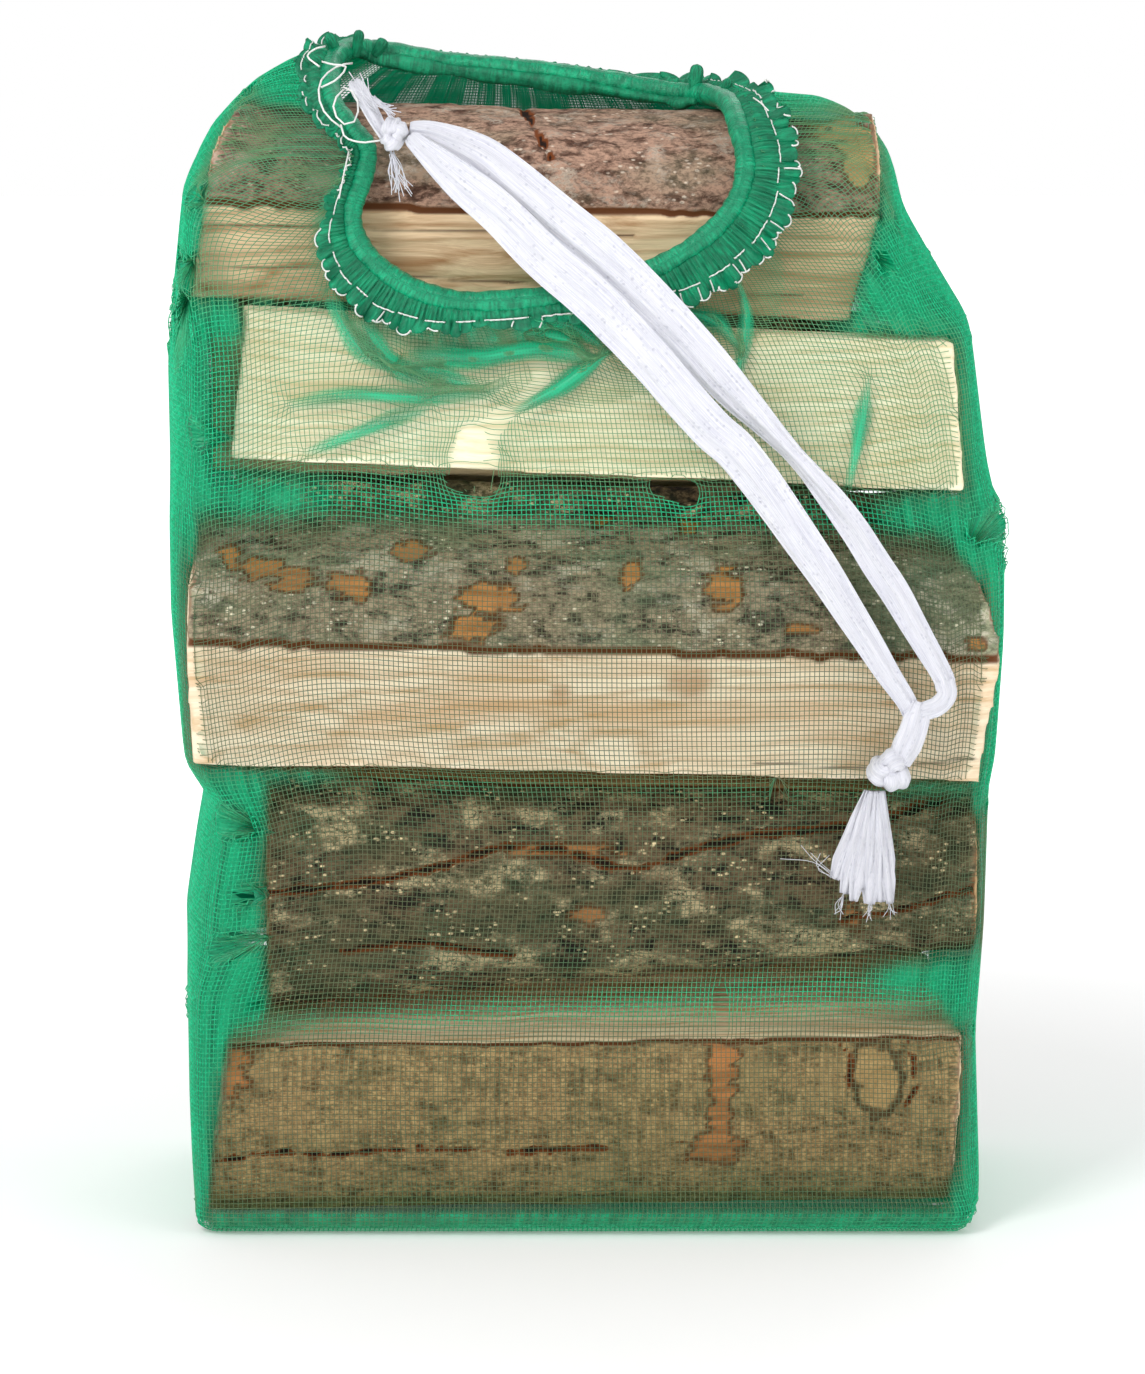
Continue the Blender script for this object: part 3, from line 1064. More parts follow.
def slackSheet(name, setup, grid, tree):
    around = np.arange(setup["around"][0], setup["around"][1], 2.0)
    tall = setup["high"] > 500
    last = len(grid) - 1.01 if tall else bag["floorRows"] + 8
    rows = np.arange(bag["floorRows"], last, 0.75 if tall else 0.25)
    field = np.concatenate([grid, gridNormals(grid)], 2)
    field = betweenColumns(field, (around % sum(bag["sides"])) * bag["columns"] / sum(bag["sides"]))
    field = between(field.transpose(1, 0, 2), rows)
    points, normals = field[..., :3], field[..., 3:6]
    normals = normals / (np.linalg.norm(normals, axis=-1) + 1e-9)[..., None]
    if np.median(normals[..., 1] * np.sign(points[..., 1])) < 0:
        normals = -normals
    near = np.array([tree.find_nearest(p)[3] for p in (points * mm).reshape(-1, 3).tolist()]) / mm
    near = near.reshape(points.shape[:2])
    ends = smoothStep(around, setup["around"][0], setup["around"][0] + 25) \
        * smoothStep(-around, -setup["around"][1], -setup["around"][1] + 25)
    dense = setup["dense"] * smoothStep(points[..., 2], setup["low"] - 6, setup["low"] + 6) * ends[None] \
        * smoothStep(-points[..., 2], -setup["high"] - 5, -setup["high"] + 2)
    if setup["hidden"]:
        seen = 1 - setup["hidden"] * smoothStep(logsBehind(points, tree), 110, 22)
        for _ in range(3):
            seen[1:-1, 1:-1] = (seen[1:-1, 1:-1] * 2 + seen[2:, 1:-1] + seen[:-2, 1:-1] + seen[1:-1, 2:]
                                + seen[1:-1, :-2]) / 6
        dense = dense * seen * smoothStep(near, 1.0, 3.5)
    wave = 1.5 * np.sin(around[None] / 1.9 + 0.9 * np.sin(points[..., 2] / 55)) \
        + 0.9 * np.sin(around[None] / 4.7 + 1.3 * np.sin(points[..., 2] / 80 + 1))
    under = np.minimum(0.8, 0.5 * near) + np.clip(near - 3, 0, 6) / 6 * (1.2 + 0.5 * wave)
    points = points - normals * under[..., None]
    points = outOfLogs(points.reshape(-1, 3), tree, 0.6).reshape(points.shape)
    return sheetMesh(name, points, dense, points[..., 2], around[None])


def netFronts(grid):
    # the front of the drawn net, to lay things on
    rows, columns = grid.shape[:2]
    i, k = np.indices((rows - 1, columns)).reshape(2, -1)
    after = (k + 1) % columns
    quads = np.stack([i * columns + k, i * columns + after, (i + 1) * columns + after, (i + 1) * columns + k], 1)
    return BVHTree.FromPolygons((grid * mm).reshape(-1, 3).tolist(), quads.tolist())


def laidOn(fronts, points):
    # the points brought to the net's front
    placed = points.copy()
    for index in np.ndindex(points.shape[:-1]):
        x, _, z = points[index]
        hit = fronts.ray_cast(Vector((x * mm, -0.2, z * mm)), Vector((0, 1, 0)), 0.3)[0]
        if hit is not None:
            placed[index][1] = hit.y / mm
    return placed


def foldRibbons(fronts):
    pieces = []
    for number, fold in enumerate(netFolds):
        line, length = smoothLine([(x, 0, z) for x, z in fold["line"]], 46)
        along = np.gradient(line, axis=0)
        side = np.stack([-along[:, 2], 0 * along[:, 0], along[:, 0]], 1)
        side /= np.linalg.norm(side, axis=1)[:, None]
        share = np.linspace(0, 1, 46)
        across = np.linspace(-1, 1, 11)
        half = fold["wide"] * 0.8 * (0.5 + 0.9 * np.sin(math.pi * share ** 0.8) + 0.25 * np.sin(9 * share + number))
        points = line[:, None] + side[:, None] * (half[:, None] * across)[..., None]
        ridge = fold["high"] * np.exp(-(half[:, None] * across / fold["wide"]) ** 2)
        points = laidOn(fronts, points)
        points[..., 1] -= ridge + 0.7
        dense = fold["dense"] * (1 - across[None] ** 2) ** 0.7 \
            * np.sin(math.pi * np.clip(share, 0.02, 0.98))[:, None] ** 0.5
        pieces.append(sheetMesh("fold", points, dense, share[:, None] * length, half[:, None] * across + 7 * number))
    return pieces


def mouthSkirt(fronts):
    # the gathered net just below the mouth
    places = np.linspace(8.3, 18.2, 260)
    out = np.linspace(3, 27, 13)
    points = np.stack([mouthFrame(places, o, 1.0) for o in out], 1)
    phase = places * 25 / 5.5
    wave = np.sin(2 * math.pi * (phase + 0.5 * np.sin(phase * 0.7)))
    points = laidOn(fronts, points)
    share = (out - 3) / 24
    points[..., 1] -= 1.4 + 0.9 * wave[:, None] * (1 - share)
    reach = np.interp(places, [8.3, 9.5, 11, 12.5, 14, 16, 17, 18.2], [0.4, 0.55, 0.75, 0.95, 1, 0.75, 0.5, 0.3])
    dense = 0.95 * np.clip(1 - share[None] / reach[:, None], 0, 1) ** 0.8 * (0.78 + 0.22 * wave[:, None])
    return sheetMesh("skirt", points, dense, places[:, None] * 25, out[None])


def makeFolds(grid, tree):
    look = foldMaterial()
    fronts = netFronts(grid)
    pieces = foldRibbons(fronts) + [mouthSkirt(fronts)]
    joinPieces(pieces, "net_folds")
    made = [pieces[0]]
    for name, setup in foldSetup.items():
        made.append(slackSheet("net_slack_" + name, setup, grid, tree))
    for piece in made:
        finishPiece(piece, look, "green_net")
        print(piece.name, len(piece.data.polygons), "faces")
    return made


# the net bag: real threads on a surface that is drawn tight round the logs

# the bag's walls, as (height, distance) in millimetres
bagWalls = {
    "front": [(0, -76), (8, -88), (30, -93), (140, -93), (200, -94), (300, -94), (370, -91), (400, -86),
              (430, -78), (455, -66), (472, -50), (484, -30), (490, -12)],
    "back": [(0, 74), (8, 86), (40, 92), (200, 94), (260, 94), (320, 92), (380, 86), (430, 70), (455, 54),
             (472, 38), (484, 20), (490, 4)],
    "left": [(0, -166), (44, -168), (132, -171), (165, -166), (186, -162), (199, -168), (262, -175),
             (366, -176), (438, -168), (462, -158), (478, -147), (490, -132)],
    "right": [(0, 164), (14, 169), (84, 167), (130, 170), (195, 171), (253, 176), (300, 175), (316, 171), (384, 161),
              (400, 151), (430, 133), (466, 127), (480, 121), (490, 106)],
}
# how far the side walls bulge past the front and back corners, as (height, distance)
bagBulges = {
    "left": [(0, 3), (60, 4), (105, 7), (125, 15), (180, 14), (200, 2), (262, 7), (300, 8), (325, 15), (375, 15),
             (395, 8), (450, 5), (490, 5)],
    "right": [(0, 3), (90, 5), (190, 4), (200, 0), (253, 3), (300, 1), (325, 9), (385, 4), (398, 14), (410, 18),
              (440, 7), (470, 2), (490, 2)],
}
bag = {
    "pitch": 2.05, "thread": 0.25, "columns": 260, "wallRows": 138, "floorRows": 16,
    "sides": (340, 180, 340, 180), "gap": 0.8, "pull": 0.05, "pleats": 74, "pleatHeight": 2.6,
    "rounds": 14, "steps": 24, "floorHeight": 0.4,
}
# where the net meets the mouth: millimetres round the bag from its front left corner, place on the route
mouthPlaces = [(0, 18.5), (77, 15.5), (157, 12.5), (237, 10), (340, 7), (430, 5.2), (520, 3.6), (690, 1.7),
               (860, 0), (950, -2.5), (1040, -5.5)]
# height at which the net turns in to the mouth
turnHeights = [(0, 422), (25, 395), (70, 345), (170, 305), (275, 325), (315, 372), (340, 415), (385, 440), (430, 440),
               (520, 425), (690, 410), (860, 425), (950, 450), (1040, 422)]
# how squarely the net turns in to the mouth at its shoulders
shoulders = [(0, 1), (20, 1), (80, 0), (265, 0), (325, 0.9), (340, 1), (1040, 1)]
# folds in the front of the net: a line of (x, z), width, height, how far the threads are drawn in, how dense
netFolds = [dict(zip(("line", "wide", "high", "drawn", "dense"), row)) for row in (
    ([(-72, 373), (-45, 371), (-30, 373), (-19, 374), (4, 371)], 5.0, 6.5, 4.2, 0.95),
    ([(-120, 352), (-95, 356), (-68, 355), (-53, 356), (-39, 357), (-33, 361)], 4.0, 4.6, 3.4, 0.8),
    ([(-90, 371), (-67, 366), (-53, 362), (-42, 360)], 4.6, 5.0, 3.4, 0.8),
    ([(-28, 349), (-19, 354), (-10, 359), (1, 367), (14, 377)], 4.0, 5.6, 4.4, 1.0),
    ([(-16, 387), (-2, 382), (10, 373)], 3.6, 4.0, 2.6, 0.85),
    ([(-24, 381), (-6, 378), (4, 370)], 3.0, 3.2, 2.4, 0.8),
    ([(-63, 351), (-84, 344), (-114, 332)], 3.6, 4.2, 3.4, 0.75),
    ([(-92, 386), (-80, 370), (-64, 360)], 5.0, 6.0, 3.4, 0.8),
    ([(-104, 396), (-94, 378), (-80, 366)], 5.0, 6.0, 3.0, 0.7),
    ([(30, 392), (52, 386), (64, 374)], 4.0, 5.0, 3.0, 0.7),
    ([(62, 404), (66, 388), (64, 370), (60, 350)], 3.0, 3.6, 2.6, 0.75),
    ([(116, 362), (113, 342), (108, 318)], 3.4, 3.6, 3.2, 0.8),
)]
# a ladder where the upright threads are gone, and holes, as a line of (x, z, half width)
netLadders = [[(-24, 371, 2), (-19, 366, 2.4), (-18, 361, 2.6), (-22, 357, 2.6), (-27, 351, 2.8), (-34, 346, 3.2),
               (-39, 341, 4), (-43, 337, 6), (-45, 331, 7)],
              [(58, 88, 2.2), (57, 104, 2.6)]]
netHoles = [[(-46, 337, 5), (-46, 331, 6.5)], [(-50, 322, 6), (-42, 321, 6.5)], [(30, 318, 3.2), (42, 315, 5)],
            [(44, 310, 3)]]


def wallPoints(around, height):
    # points of the bag's wall for each distance round it and each height
    edges = {}
    for side, pairs in bagWalls.items():
        heights, places = zip(*pairs)
        edges[side] = np.interp(height, heights, places)
    corners = np.cumsum((0,) + bag["sides"])
    side = np.clip(np.searchsorted(corners, around, "right") - 1, 0, 3)
    share = (around - corners[side]) / np.array(bag["sides"])[side]
    bulge = {name: np.interp(height, *zip(*pairs)) for name, pairs in bagBulges.items()}
    left, right = edges["left"] + bulge["left"], edges["right"] - bulge["right"]
    round_ = 1 - np.abs(2 * share - 1) ** 2.2
    x = np.choose(side, [left + (right - left) * share, right + bulge["right"] * round_,
                         right + (left - right) * share, left - bulge["left"] * round_])
    y = np.choose(side, [edges["front"], edges["front"] + (edges["back"] - edges["front"]) * share,
                         edges["back"], edges["back"] + (edges["front"] - edges["back"]) * share])
    return np.stack([x, y, height + 0 * x], -1)


def bagSurface():
    # a grid of points: rows from the seam on the floor up to the mouth, columns round the bag
    columns = bag["columns"]
    around = np.arange(columns) * sum(bag["sides"]) / columns
    turn = np.interp(around, *zip(*turnHeights))
    places = np.interp(around, *zip(*mouthPlaces))
    mouth = mouthFrame(places, 5.0, 1.0)
    fine = np.linspace(0, 1, 61)[:, None]
    square = np.interp(around, *zip(*shoulders))
    rise = fine * (1 - square) + (1 - (1 - fine) ** 2) * square
    height = turn + (np.minimum(mouth[:, 2], 489) - turn) * rise
    path = wallPoints(np.broadcast_to(around, height.shape), height)
    ease = (fine * fine * (3 - 2 * fine) * (1 - square) + fine ** 2.2 * square)[:, :, None]
    path = path * (1 - ease) + mouth * ease
    steps = np.concatenate([np.zeros((1, columns)), np.cumsum(np.linalg.norm(np.diff(path, axis=0), axis=2), 0)])
    length = turn + steps[-1]
    rows = []
    for row in range(bag["wallRows"] + 1):
        reach = length * row / bag["wallRows"]
        low = wallPoints(around, np.minimum(reach, turn))
        past = np.maximum(reach - turn, 0)
        index = np.array([np.interp(p, steps[:, c], np.arange(61)) for c, p in enumerate(past)])
        cell = np.minimum(index.astype(int), 59)
        t = (index - cell)[:, None]
        pick = np.arange(columns)
        high = path[cell, pick] * (1 - t) + path[cell + 1, pick] * t
        rows.append(np.where((reach > turn)[:, None], high, low))
    wall = np.array(rows)
    base = wall[0]
    seam = base * (0.975, 0, 0)
    shares = (np.arange(bag["floorRows"]) / bag["floorRows"])[:, None, None]
    floor = seam * (1 - shares) + base * shares
    grid = np.concatenate([floor, wall])
    low = bag["floorRows"] + 1
    for _ in range(8):
        grid[low:-1] = (2 * grid + np.roll(grid, 1, 1) + np.roll(grid, -1, 1))[low:-1] / 4
    # the floor lies flat and turns up a little at its two ends
    grid[:low, :, 2] = bag["floorHeight"] + 8 * smoothStep(np.abs(grid[:low, :, 0]), 156, 171)
    return grid, length


def stayShares(grid):
    # how firmly each point keeps its place while the net is drawn tight
    x, y, z = grid[..., 0], grid[..., 1], grid[..., 2]
    stay = np.full(x.shape, 0.0015)
    walls = smoothStep(np.abs(x), 150, 170) * smoothStep(85 - np.abs(y), 0, 30)
    stay = np.maximum(stay, 0.25 * walls)
    leftLow = smoothStep(-x, 140, 165) * smoothStep(-z, -205, -185)
    stay = np.maximum(stay, 0.10 * leftLow)
    leftHigh = smoothStep(-x, 135, 165) * smoothStep(z, 300, 330)
    stay = np.maximum(stay, 0.12 * leftHigh)
    rightHigh = smoothStep(x, 118, 140) * smoothStep(z, 392, 412)
    stay = np.maximum(stay, 0.10 * rightHigh)
    peak = np.maximum(smoothStep(x, 92, 108), smoothStep(-x, 112, 128)) * smoothStep(z, 440, 462)
    stay = np.maximum(stay, 0.4 * peak)
    stay = np.maximum(stay, 0.6 * smoothStep(-z, -16, -2))
    stay[:bag["floorRows"] + 1] = 1
    stay[-1] = 1
    return stay[..., None]


def outOfLogs(points, tree, gap):
    moved = points.copy()
    reach = 40 * mm
    for i, point in enumerate((points * mm).tolist()):
        near, normal, _, away = tree.find_nearest(point, reach)
        if near is None:
            continue
        offset = Vector(point) - near
        if offset.dot(normal) < 0:
            moved[i] = np.array(near + normal * gap * mm) / mm
        elif away < gap * mm:
            moved[i] = np.array(near + offset.normalized() * gap * mm) / mm
    return moved


def logFronts(grid, tree, side):
    # how far out the logs reach at each point of one face, with the narrow gaps between them closed
    rows, columns = grid.shape[:2]
    reach = np.full((rows, columns), -45.0)
    for row in range(bag["floorRows"] + 2, rows - 1):
        for column in range(columns):
            x, _, z = grid[row, column] * mm
            hit = tree.ray_cast(Vector((x, side * 0.2, z)), Vector((0, -side, 0)), 0.16)[0]
            if hit is not None:
                reach[row, column] = side * hit.y / mm
    for move, pick in ((2, np.maximum), (2, np.minimum)):
        for axis, width in ((0, move), (1, 1)):
            padded = np.pad(reach, [(width, width) if a == axis else (0, 0) for a in (0, 1)], "edge")
            count = reach.shape[axis]
            parts = [np.take(padded, np.arange(k, k + count), axis) for k in range(2 * width + 1)]
            reach = pick.reduce(parts)
    return reach


def logsBehind(points, tree):
    # how far behind each point of the front, or before each of the back, the first log is
    found = np.full(points.shape[:-1], 200.0)  # none behind
    for index in np.ndindex(found.shape):
        at = Vector((points[index] * mm).tolist())
        hit = tree.ray_cast(at, Vector((0, 1 if at.y < 0 else -1, 0)), 0.12)
        if hit[0] is not None:
            found[index] = hit[3] / mm
    return found


def drawTight(grid, tree):
    stay = stayShares(grid)
    start = grid.copy()
    around = np.arange(bag["columns"]) * sum(bag["sides"]) / bag["columns"]
    faces = []
    for side, first, last in ((-1, 8, 332), (1, 528, 852)):
        chosen = np.nonzero((around > first) & (around < last))[0]
        faces.append((side, chosen, logFronts(grid[:, chosen], tree, side)))
    for _ in range(bag["rounds"]):
        for _ in range(bag["steps"]):
            middle = (np.roll(grid, 1, 1) + np.roll(grid, -1, 1)) * 0.3
            middle[1:-1] += 0.2 * (grid[2:] + grid[:-2])
            middle[0], middle[-1] = grid[0], grid[-1]
            grid = grid + 0.5 * (middle - grid)
            grid = grid + stay * (start - grid)
            for side, chosen, reach in faces:
                out = np.maximum(side * grid[1:-1, chosen, 1] - bag["pull"], (reach + bag["gap"])[1:-1])
                grid[1:-1, chosen, 1] = side * out
        rows = slice(bag["floorRows"] + 1, -1)
        free = grid[rows].reshape(-1, 3)
        grid[rows] = outOfLogs(free, tree, bag["gap"]).reshape(grid[rows].shape)
    return grid


def gridNormals(grid):
    wide = np.roll(grid, -1, 1) - np.roll(grid, 1, 1)
    tall = np.gradient(grid, axis=0)
    normal = np.cross(wide, tall)
    return normal / (np.linalg.norm(normal, axis=2) + 1e-9)[..., None]


def foldedThreads(field, around, toMouth):
    # the pleats by the mouth and the folds, added to the points of the threads
    points, normals = field[..., :3].copy(), field[..., 3:6]
    normals = normals / (np.linalg.norm(normals, axis=-1) + 1e-9)[..., None]
    phase = bag["pleats"] * around / sum(bag["sides"])
    sway = 0.55 * np.sin(phase * 0.83 + 1.3) + 0.35 * np.sin(phase * 0.37)
    wave = np.sin(2 * math.pi * (phase + 0.35 * sway))
    at = np.interp(around, *zip(*mouthPlaces)) % routeEnd
    loose = np.interp(at, [0, 1, 3, 4.5, 21, 23, routeEnd], [0.25, 0.2, 0.25, 1, 1, 0.6, 0.25])
    high = loose * (bag["pleatHeight"] * np.exp(-toMouth / 16) + 0.8 * np.exp(-toMouth / 40))
    shift = np.maximum(wave, -0.55) * high
    front = smoothStep(-normals[..., 1], 0.1, 0.5)
    for fold in netFolds:
        away, way, _ = lineShares(points, fold["line"])
        share = np.exp(-(away / fold["wide"]) ** 2) * front
        shift = shift + fold["high"] * share
        draw = fold["drawn"] * front * np.exp(-(away / (1.8 * fold["wide"])) ** 2)
        pull = way / (away + 0.8)[..., None] * np.minimum(draw, 0.6 * away)[..., None]
        points[..., 0] += pull[..., 0]
        points[..., 2] += pull[..., 1]
    points += normals * shift[..., None]
    return np.concatenate([points, normals, field[..., 6:]], -1)


def pushedAside(field, lines, share=1.0):
    # threads that a ladder or hole has let slip to its edges
    points = field[..., :3]
    front = field[..., 4] < 0
    for line in lines:
        away, way, half = lineShares(points, line)
        further = np.sqrt(away ** 2 + (share * half) ** 2) - away
        further *= np.exp(-(away / (2.6 * half + 1)) ** 2) * front
        move = -way / (away + 0.05)[..., None] * further[..., None]
        points[..., 0] += move[..., 0]
        points[..., 2] += move[..., 1]
    return field


def worn(field, lines, sway, share):
    gone = np.zeros(field.shape[:-1], bool)
    for line in lines:
        away, _, half = lineShares(field[..., :3], line)
        gone |= (away < share * half + sway) & (field[..., 4] < 0)
    return gone


def clearOfLogs(field, present, tree, gap):
    chosen = present & (field[..., 6] > 0.02)
    field[..., :3][chosen] = outOfLogs(field[..., :3][chosen], tree, gap)
    return field


def netThreads(grid, length, tree):
    # the two sets of threads as fields of points, normals and stain, with what is present of each
    dice = np.random.default_rng(7)
    around = np.arange(bag["columns"]) * sum(bag["sides"]) / bag["columns"]
    near = np.array([tree.find_nearest(p)[3] for p in (grid * mm).reshape(-1, 3).tolist()]) / mm
    stain = np.maximum(smoothStep(near, 7.5, 2.5), 0.92 * smoothStep(logsBehind(grid, tree), 50, 28).ravel())
    stain = stain.reshape(grid.shape[:2])
    for _ in range(2):
        stain = (2 * stain + np.roll(stain, 1, 0) + np.roll(stain, -1, 0)) / 4
    field = np.concatenate([grid, gridNormals(grid), stain[..., None]], 2)
    rows = len(grid)
    count = round(sum(bag["sides"]) / bag["pitch"])
    place = np.arange(count) * bag["columns"] / count
    upright = betweenColumns(field, place).transpose(1, 0, 2)
    fineRows = np.arange(0, rows - 0.99, 0.5)
    upright = between(upright, fineRows).transpose(1, 0, 2)
    uprightAround = place * sum(bag["sides"]) / bag["columns"]
    threadLength = np.interp(uprightAround, around, length, period=sum(bag["sides"]))
    climb = np.maximum(fineRows - bag["floorRows"], 0) / bag["wallRows"]
    toMouth = threadLength[:, None] * (1 - climb)[None]
    present = ~worn(upright, netLadders + netHoles, dice.uniform(-0.3, 0.3, (count, 1)), 0.5)
    upright = pushedAside(upright, netLadders + netHoles)
    upright = foldedThreads(upright, uprightAround[:, None], toMouth)
    upright = clearOfLogs(upright, present, tree, 0.45)

    reach = np.arange(0.5, max(length) / bag["pitch"], 0.5) * bag["pitch"]
    extra = np.arange(len(reach)) % 2 == 1
    wall = bag["floorRows"] + reach[:, None] / length[None] * bag["wallRows"]
    floor = np.repeat(np.linspace(0.4, bag["floorRows"] - 0.4, 42)[:, None], bag["columns"], 1)
    level = between(field, np.minimum(np.concatenate([floor, wall]), rows - 1.001))
    fineColumns = np.arange(0, bag["columns"] + 0.01, 0.5)
    level = betweenColumns(level, fineColumns).transpose(1, 0, 2)
    levelAround = fineColumns * sum(bag["sides"]) / bag["columns"]
    levelLength = np.interp(levelAround, around, length, period=sum(bag["sides"]))
    reach = np.concatenate([np.full(len(floor), -1.0), reach])
    extra = np.concatenate([np.zeros(len(floor), bool), extra])
    toMouth = levelLength[None] - reach[:, None]
    crowded = 46 * smoothStep(levelAround, 0, 60) * smoothStep(-levelAround, -330, -270)
    there = (toMouth > 0.5) & (~extra[:, None] | (toMouth < crowded[None]))
    there &= ~worn(level, netHoles, dice.uniform(-0.3, 0.3, (len(level), 1)), 0.5)
    level = pushedAside(level, netHoles)
    level = foldedThreads(level, levelAround[None], np.maximum(toMouth, 0))
    level = clearOfLogs(level, there, tree, 0.8)
    return (upright, present, uprightAround), (level, there, levelAround)


def netMaterial():
    look, tree, shader = newLook("greenNetLook")
    place = inPlace(tree)
    worn = valueOf(tree, "stain")
    patches = cloudy(tree, place, 40, 3)
    fine = cloudy(tree, place, 900, 2)
    green = blendColours(tree, spread(tree, fine, 0.35, 0.7), tone(0, 158, 108), tone(16, 206, 148))
    height = addNode(tree, "ShaderNodeSeparateXYZ", {0: place}).outputs["Z"]
    low = blendColours(tree, spread(tree, patches, 0.35, 0.65), tone(116, 112, 76), tone(92, 106, 72))
    high = blendColours(tree, spread(tree, patches, 0.35, 0.65), tone(92, 158, 112), tone(120, 160, 108))
    dusty = blendColours(tree, spread(tree, height, 0.308, 0.325), low, high)
    colour = blendColours(tree, maths(tree, "MULTIPLY", worn, 0.92), green, dusty)
    tree.links.new(colour, shader.inputs["Base Color"])
    tree.links.new(green, shader.inputs["Emission Color"])
    tree.links.new(spread(tree, worn, 0, 0.8, 0.1, 0.0), shader.inputs["Emission Strength"])
    tree.links.new(spread(tree, fine, 0.3, 0.7, 0.35, 0.5), shader.inputs["Roughness"])
    roughen(tree, shader, fine, 0.3, 0.0001)
    return look


halfFloor = 90  # from the seam under the bag to its front or back
netPanels = {"front_left": (0, 170), "front_right": (170, 340), "right": (340, 520),
             "back_right": (520, 690), "back_left": (690, 860), "left": (860, 1040.1)}


def makeNet(logPieces):
    points, faces = [], []
    for piece in logPieces:
        start = len(points)
        points += [v.co.copy() for v in piece.data.vertices]
        faces += [[start + v for v in p.vertices] for p in piece.data.polygons]
    tree = BVHTree.FromPolygons(points, faces)
    grid, length = bagSurface()
    grid = drawTight(grid, tree)
    upright, level = netThreads(grid, length, tree)
    look = netMaterial()
    panels = []
    for name, (start, end) in netPanels.items():
        field, present, around = upright
        chosen = (around >= start) & (around < end)
        first = threadMesh(field[chosen], present[chosen], bag["thread"])
        field, present, around = level
        chosen = (around >= start - 0.01) & (around <= end + 0.01)
        second = threadMesh(field[:, chosen], present[:, chosen], bag["thread"])
        shift = len(first[0])
        panel = addMesh("net_" + name, np.concatenate([first[0], second[0]]),
                        np.concatenate([first[1], second[1] + shift]), first[2][:0])
        setValues(panel.data, "stain", np.concatenate([first[3], second[3]]))
        finishPiece(panel, look, "green_net", *(["net_bag"] if name == "front_left" else []))
        columnPlaces = np.arange(bag["columns"]) * sum(bag["sides"]) / bag["columns"]
        tall = halfFloor * mm + mm * float(np.interp((start + end) / 2, columnPlaces, length))
        print(name, len(panel.data.polygons), "faces", round(tall, 3))
        panels.append((panel, (mm * (end - start), tall)))
    return panels, makeFolds(grid, tree)


netPanelPieces, foldPieces = makeNet(logPieces)
print("stage: net")


# the mouth: elastic in a gathered sleeve, the pleated band outside it and its white stitching, in millimetres

# width of the band outside the elastic and height of its scallops, by place on the elastic's route
bandWidths = [(0, 3, 1), (1, 3, 0.6), (2.5, 3, 0.8), (3.1, 7, 3.4), (4, 13, 4), (5, 16, 4.2), (6, 18, 4.4),
              (7.5, 19, 4.6), (9, 20, 4.8), (10, 18, 4.8), (11, 12, 4.2), (12, 8, 3.2), (13, 8, 3.2), (14, 13, 4.4),
              (15, 17, 4.6), (16, 15, 4.0), (17, 8, 3.0), (18, 5, 2.4), (19, 5, 2.4), (20, 7, 3.0), (21, 10, 3.8),
              (22.5, 11, 4.4), (23.3, 8, 4), (24, 3, 1)]
mouthSetup = {"elastic": 4.3, "scallops": 62, "samples": 1500, "across": 13, "seam": 0.6}


def elasticPiece():
    places = np.linspace(0, routeEnd, 480, endpoint=False)
    line = mouthFrame(places)
    ahead = mouthFrame(places, 1.0) - line
    turn = np.linspace(0, 2 * math.pi, 18, endpoint=False)
    step = np.arange(480)[:, None]
    ridges = 0.16 * np.sin(5 * turn + step * 0.035) + 0.12 * np.sin(9 * turn - step * 0.05)
    lumps = 0.3 * np.sin(step * 0.23) * np.sin(step * 0.051 + 1) + 0.16 * np.sin(step * 0.9 + 2 * turn)
    radius = mouthSetup["elastic"] + ridges + lumps
    section = np.stack([radius * np.cos(turn), radius * np.sin(turn)], -1)
    piece = sweptPiece("elastic_sleeve", line, ahead, section, closed=True)
    setValues(piece.data, "along", np.repeat(step[:, 0] * 1.05, 18))
    setValues(piece.data, "across", np.tile(turn, 480))
    return piece


def rollPiece():
    # the roll of net that hangs below the back run of the elastic
    places = np.linspace(-0.9, 3.9, 150)
    share = np.linspace(0, 1, 150)[:, None]
    fat = 0.35 + 0.65 * np.sin(math.pi * share) ** 0.5
    swing = np.sin(places * 4.1) + 0.6 * np.sin(places * 9.7 + 1)
    line = mouthFrame(places, -4.6 - 0.9 * swing, -2.2)
    ahead = mouthFrame(places, 1.0) - mouthFrame(places)
    turn = np.linspace(0, 2 * math.pi, 16, endpoint=False)
    radius = fat * (3.1 + 0.5 * swing[:, None] + 0.3 * np.sin(3 * turn + 7 * share)
                    + 0.2 * np.sin(7 * turn + 31 * share))
    section = np.stack([radius * np.cos(turn), radius * np.sin(turn)], -1)
    piece = sweptPiece("roll", line, ahead, section)
    setValues(piece.data, "along", np.repeat(places * 25, 16))
    setValues(piece.data, "across", np.tile(turn / 6.3, 150))
    return piece


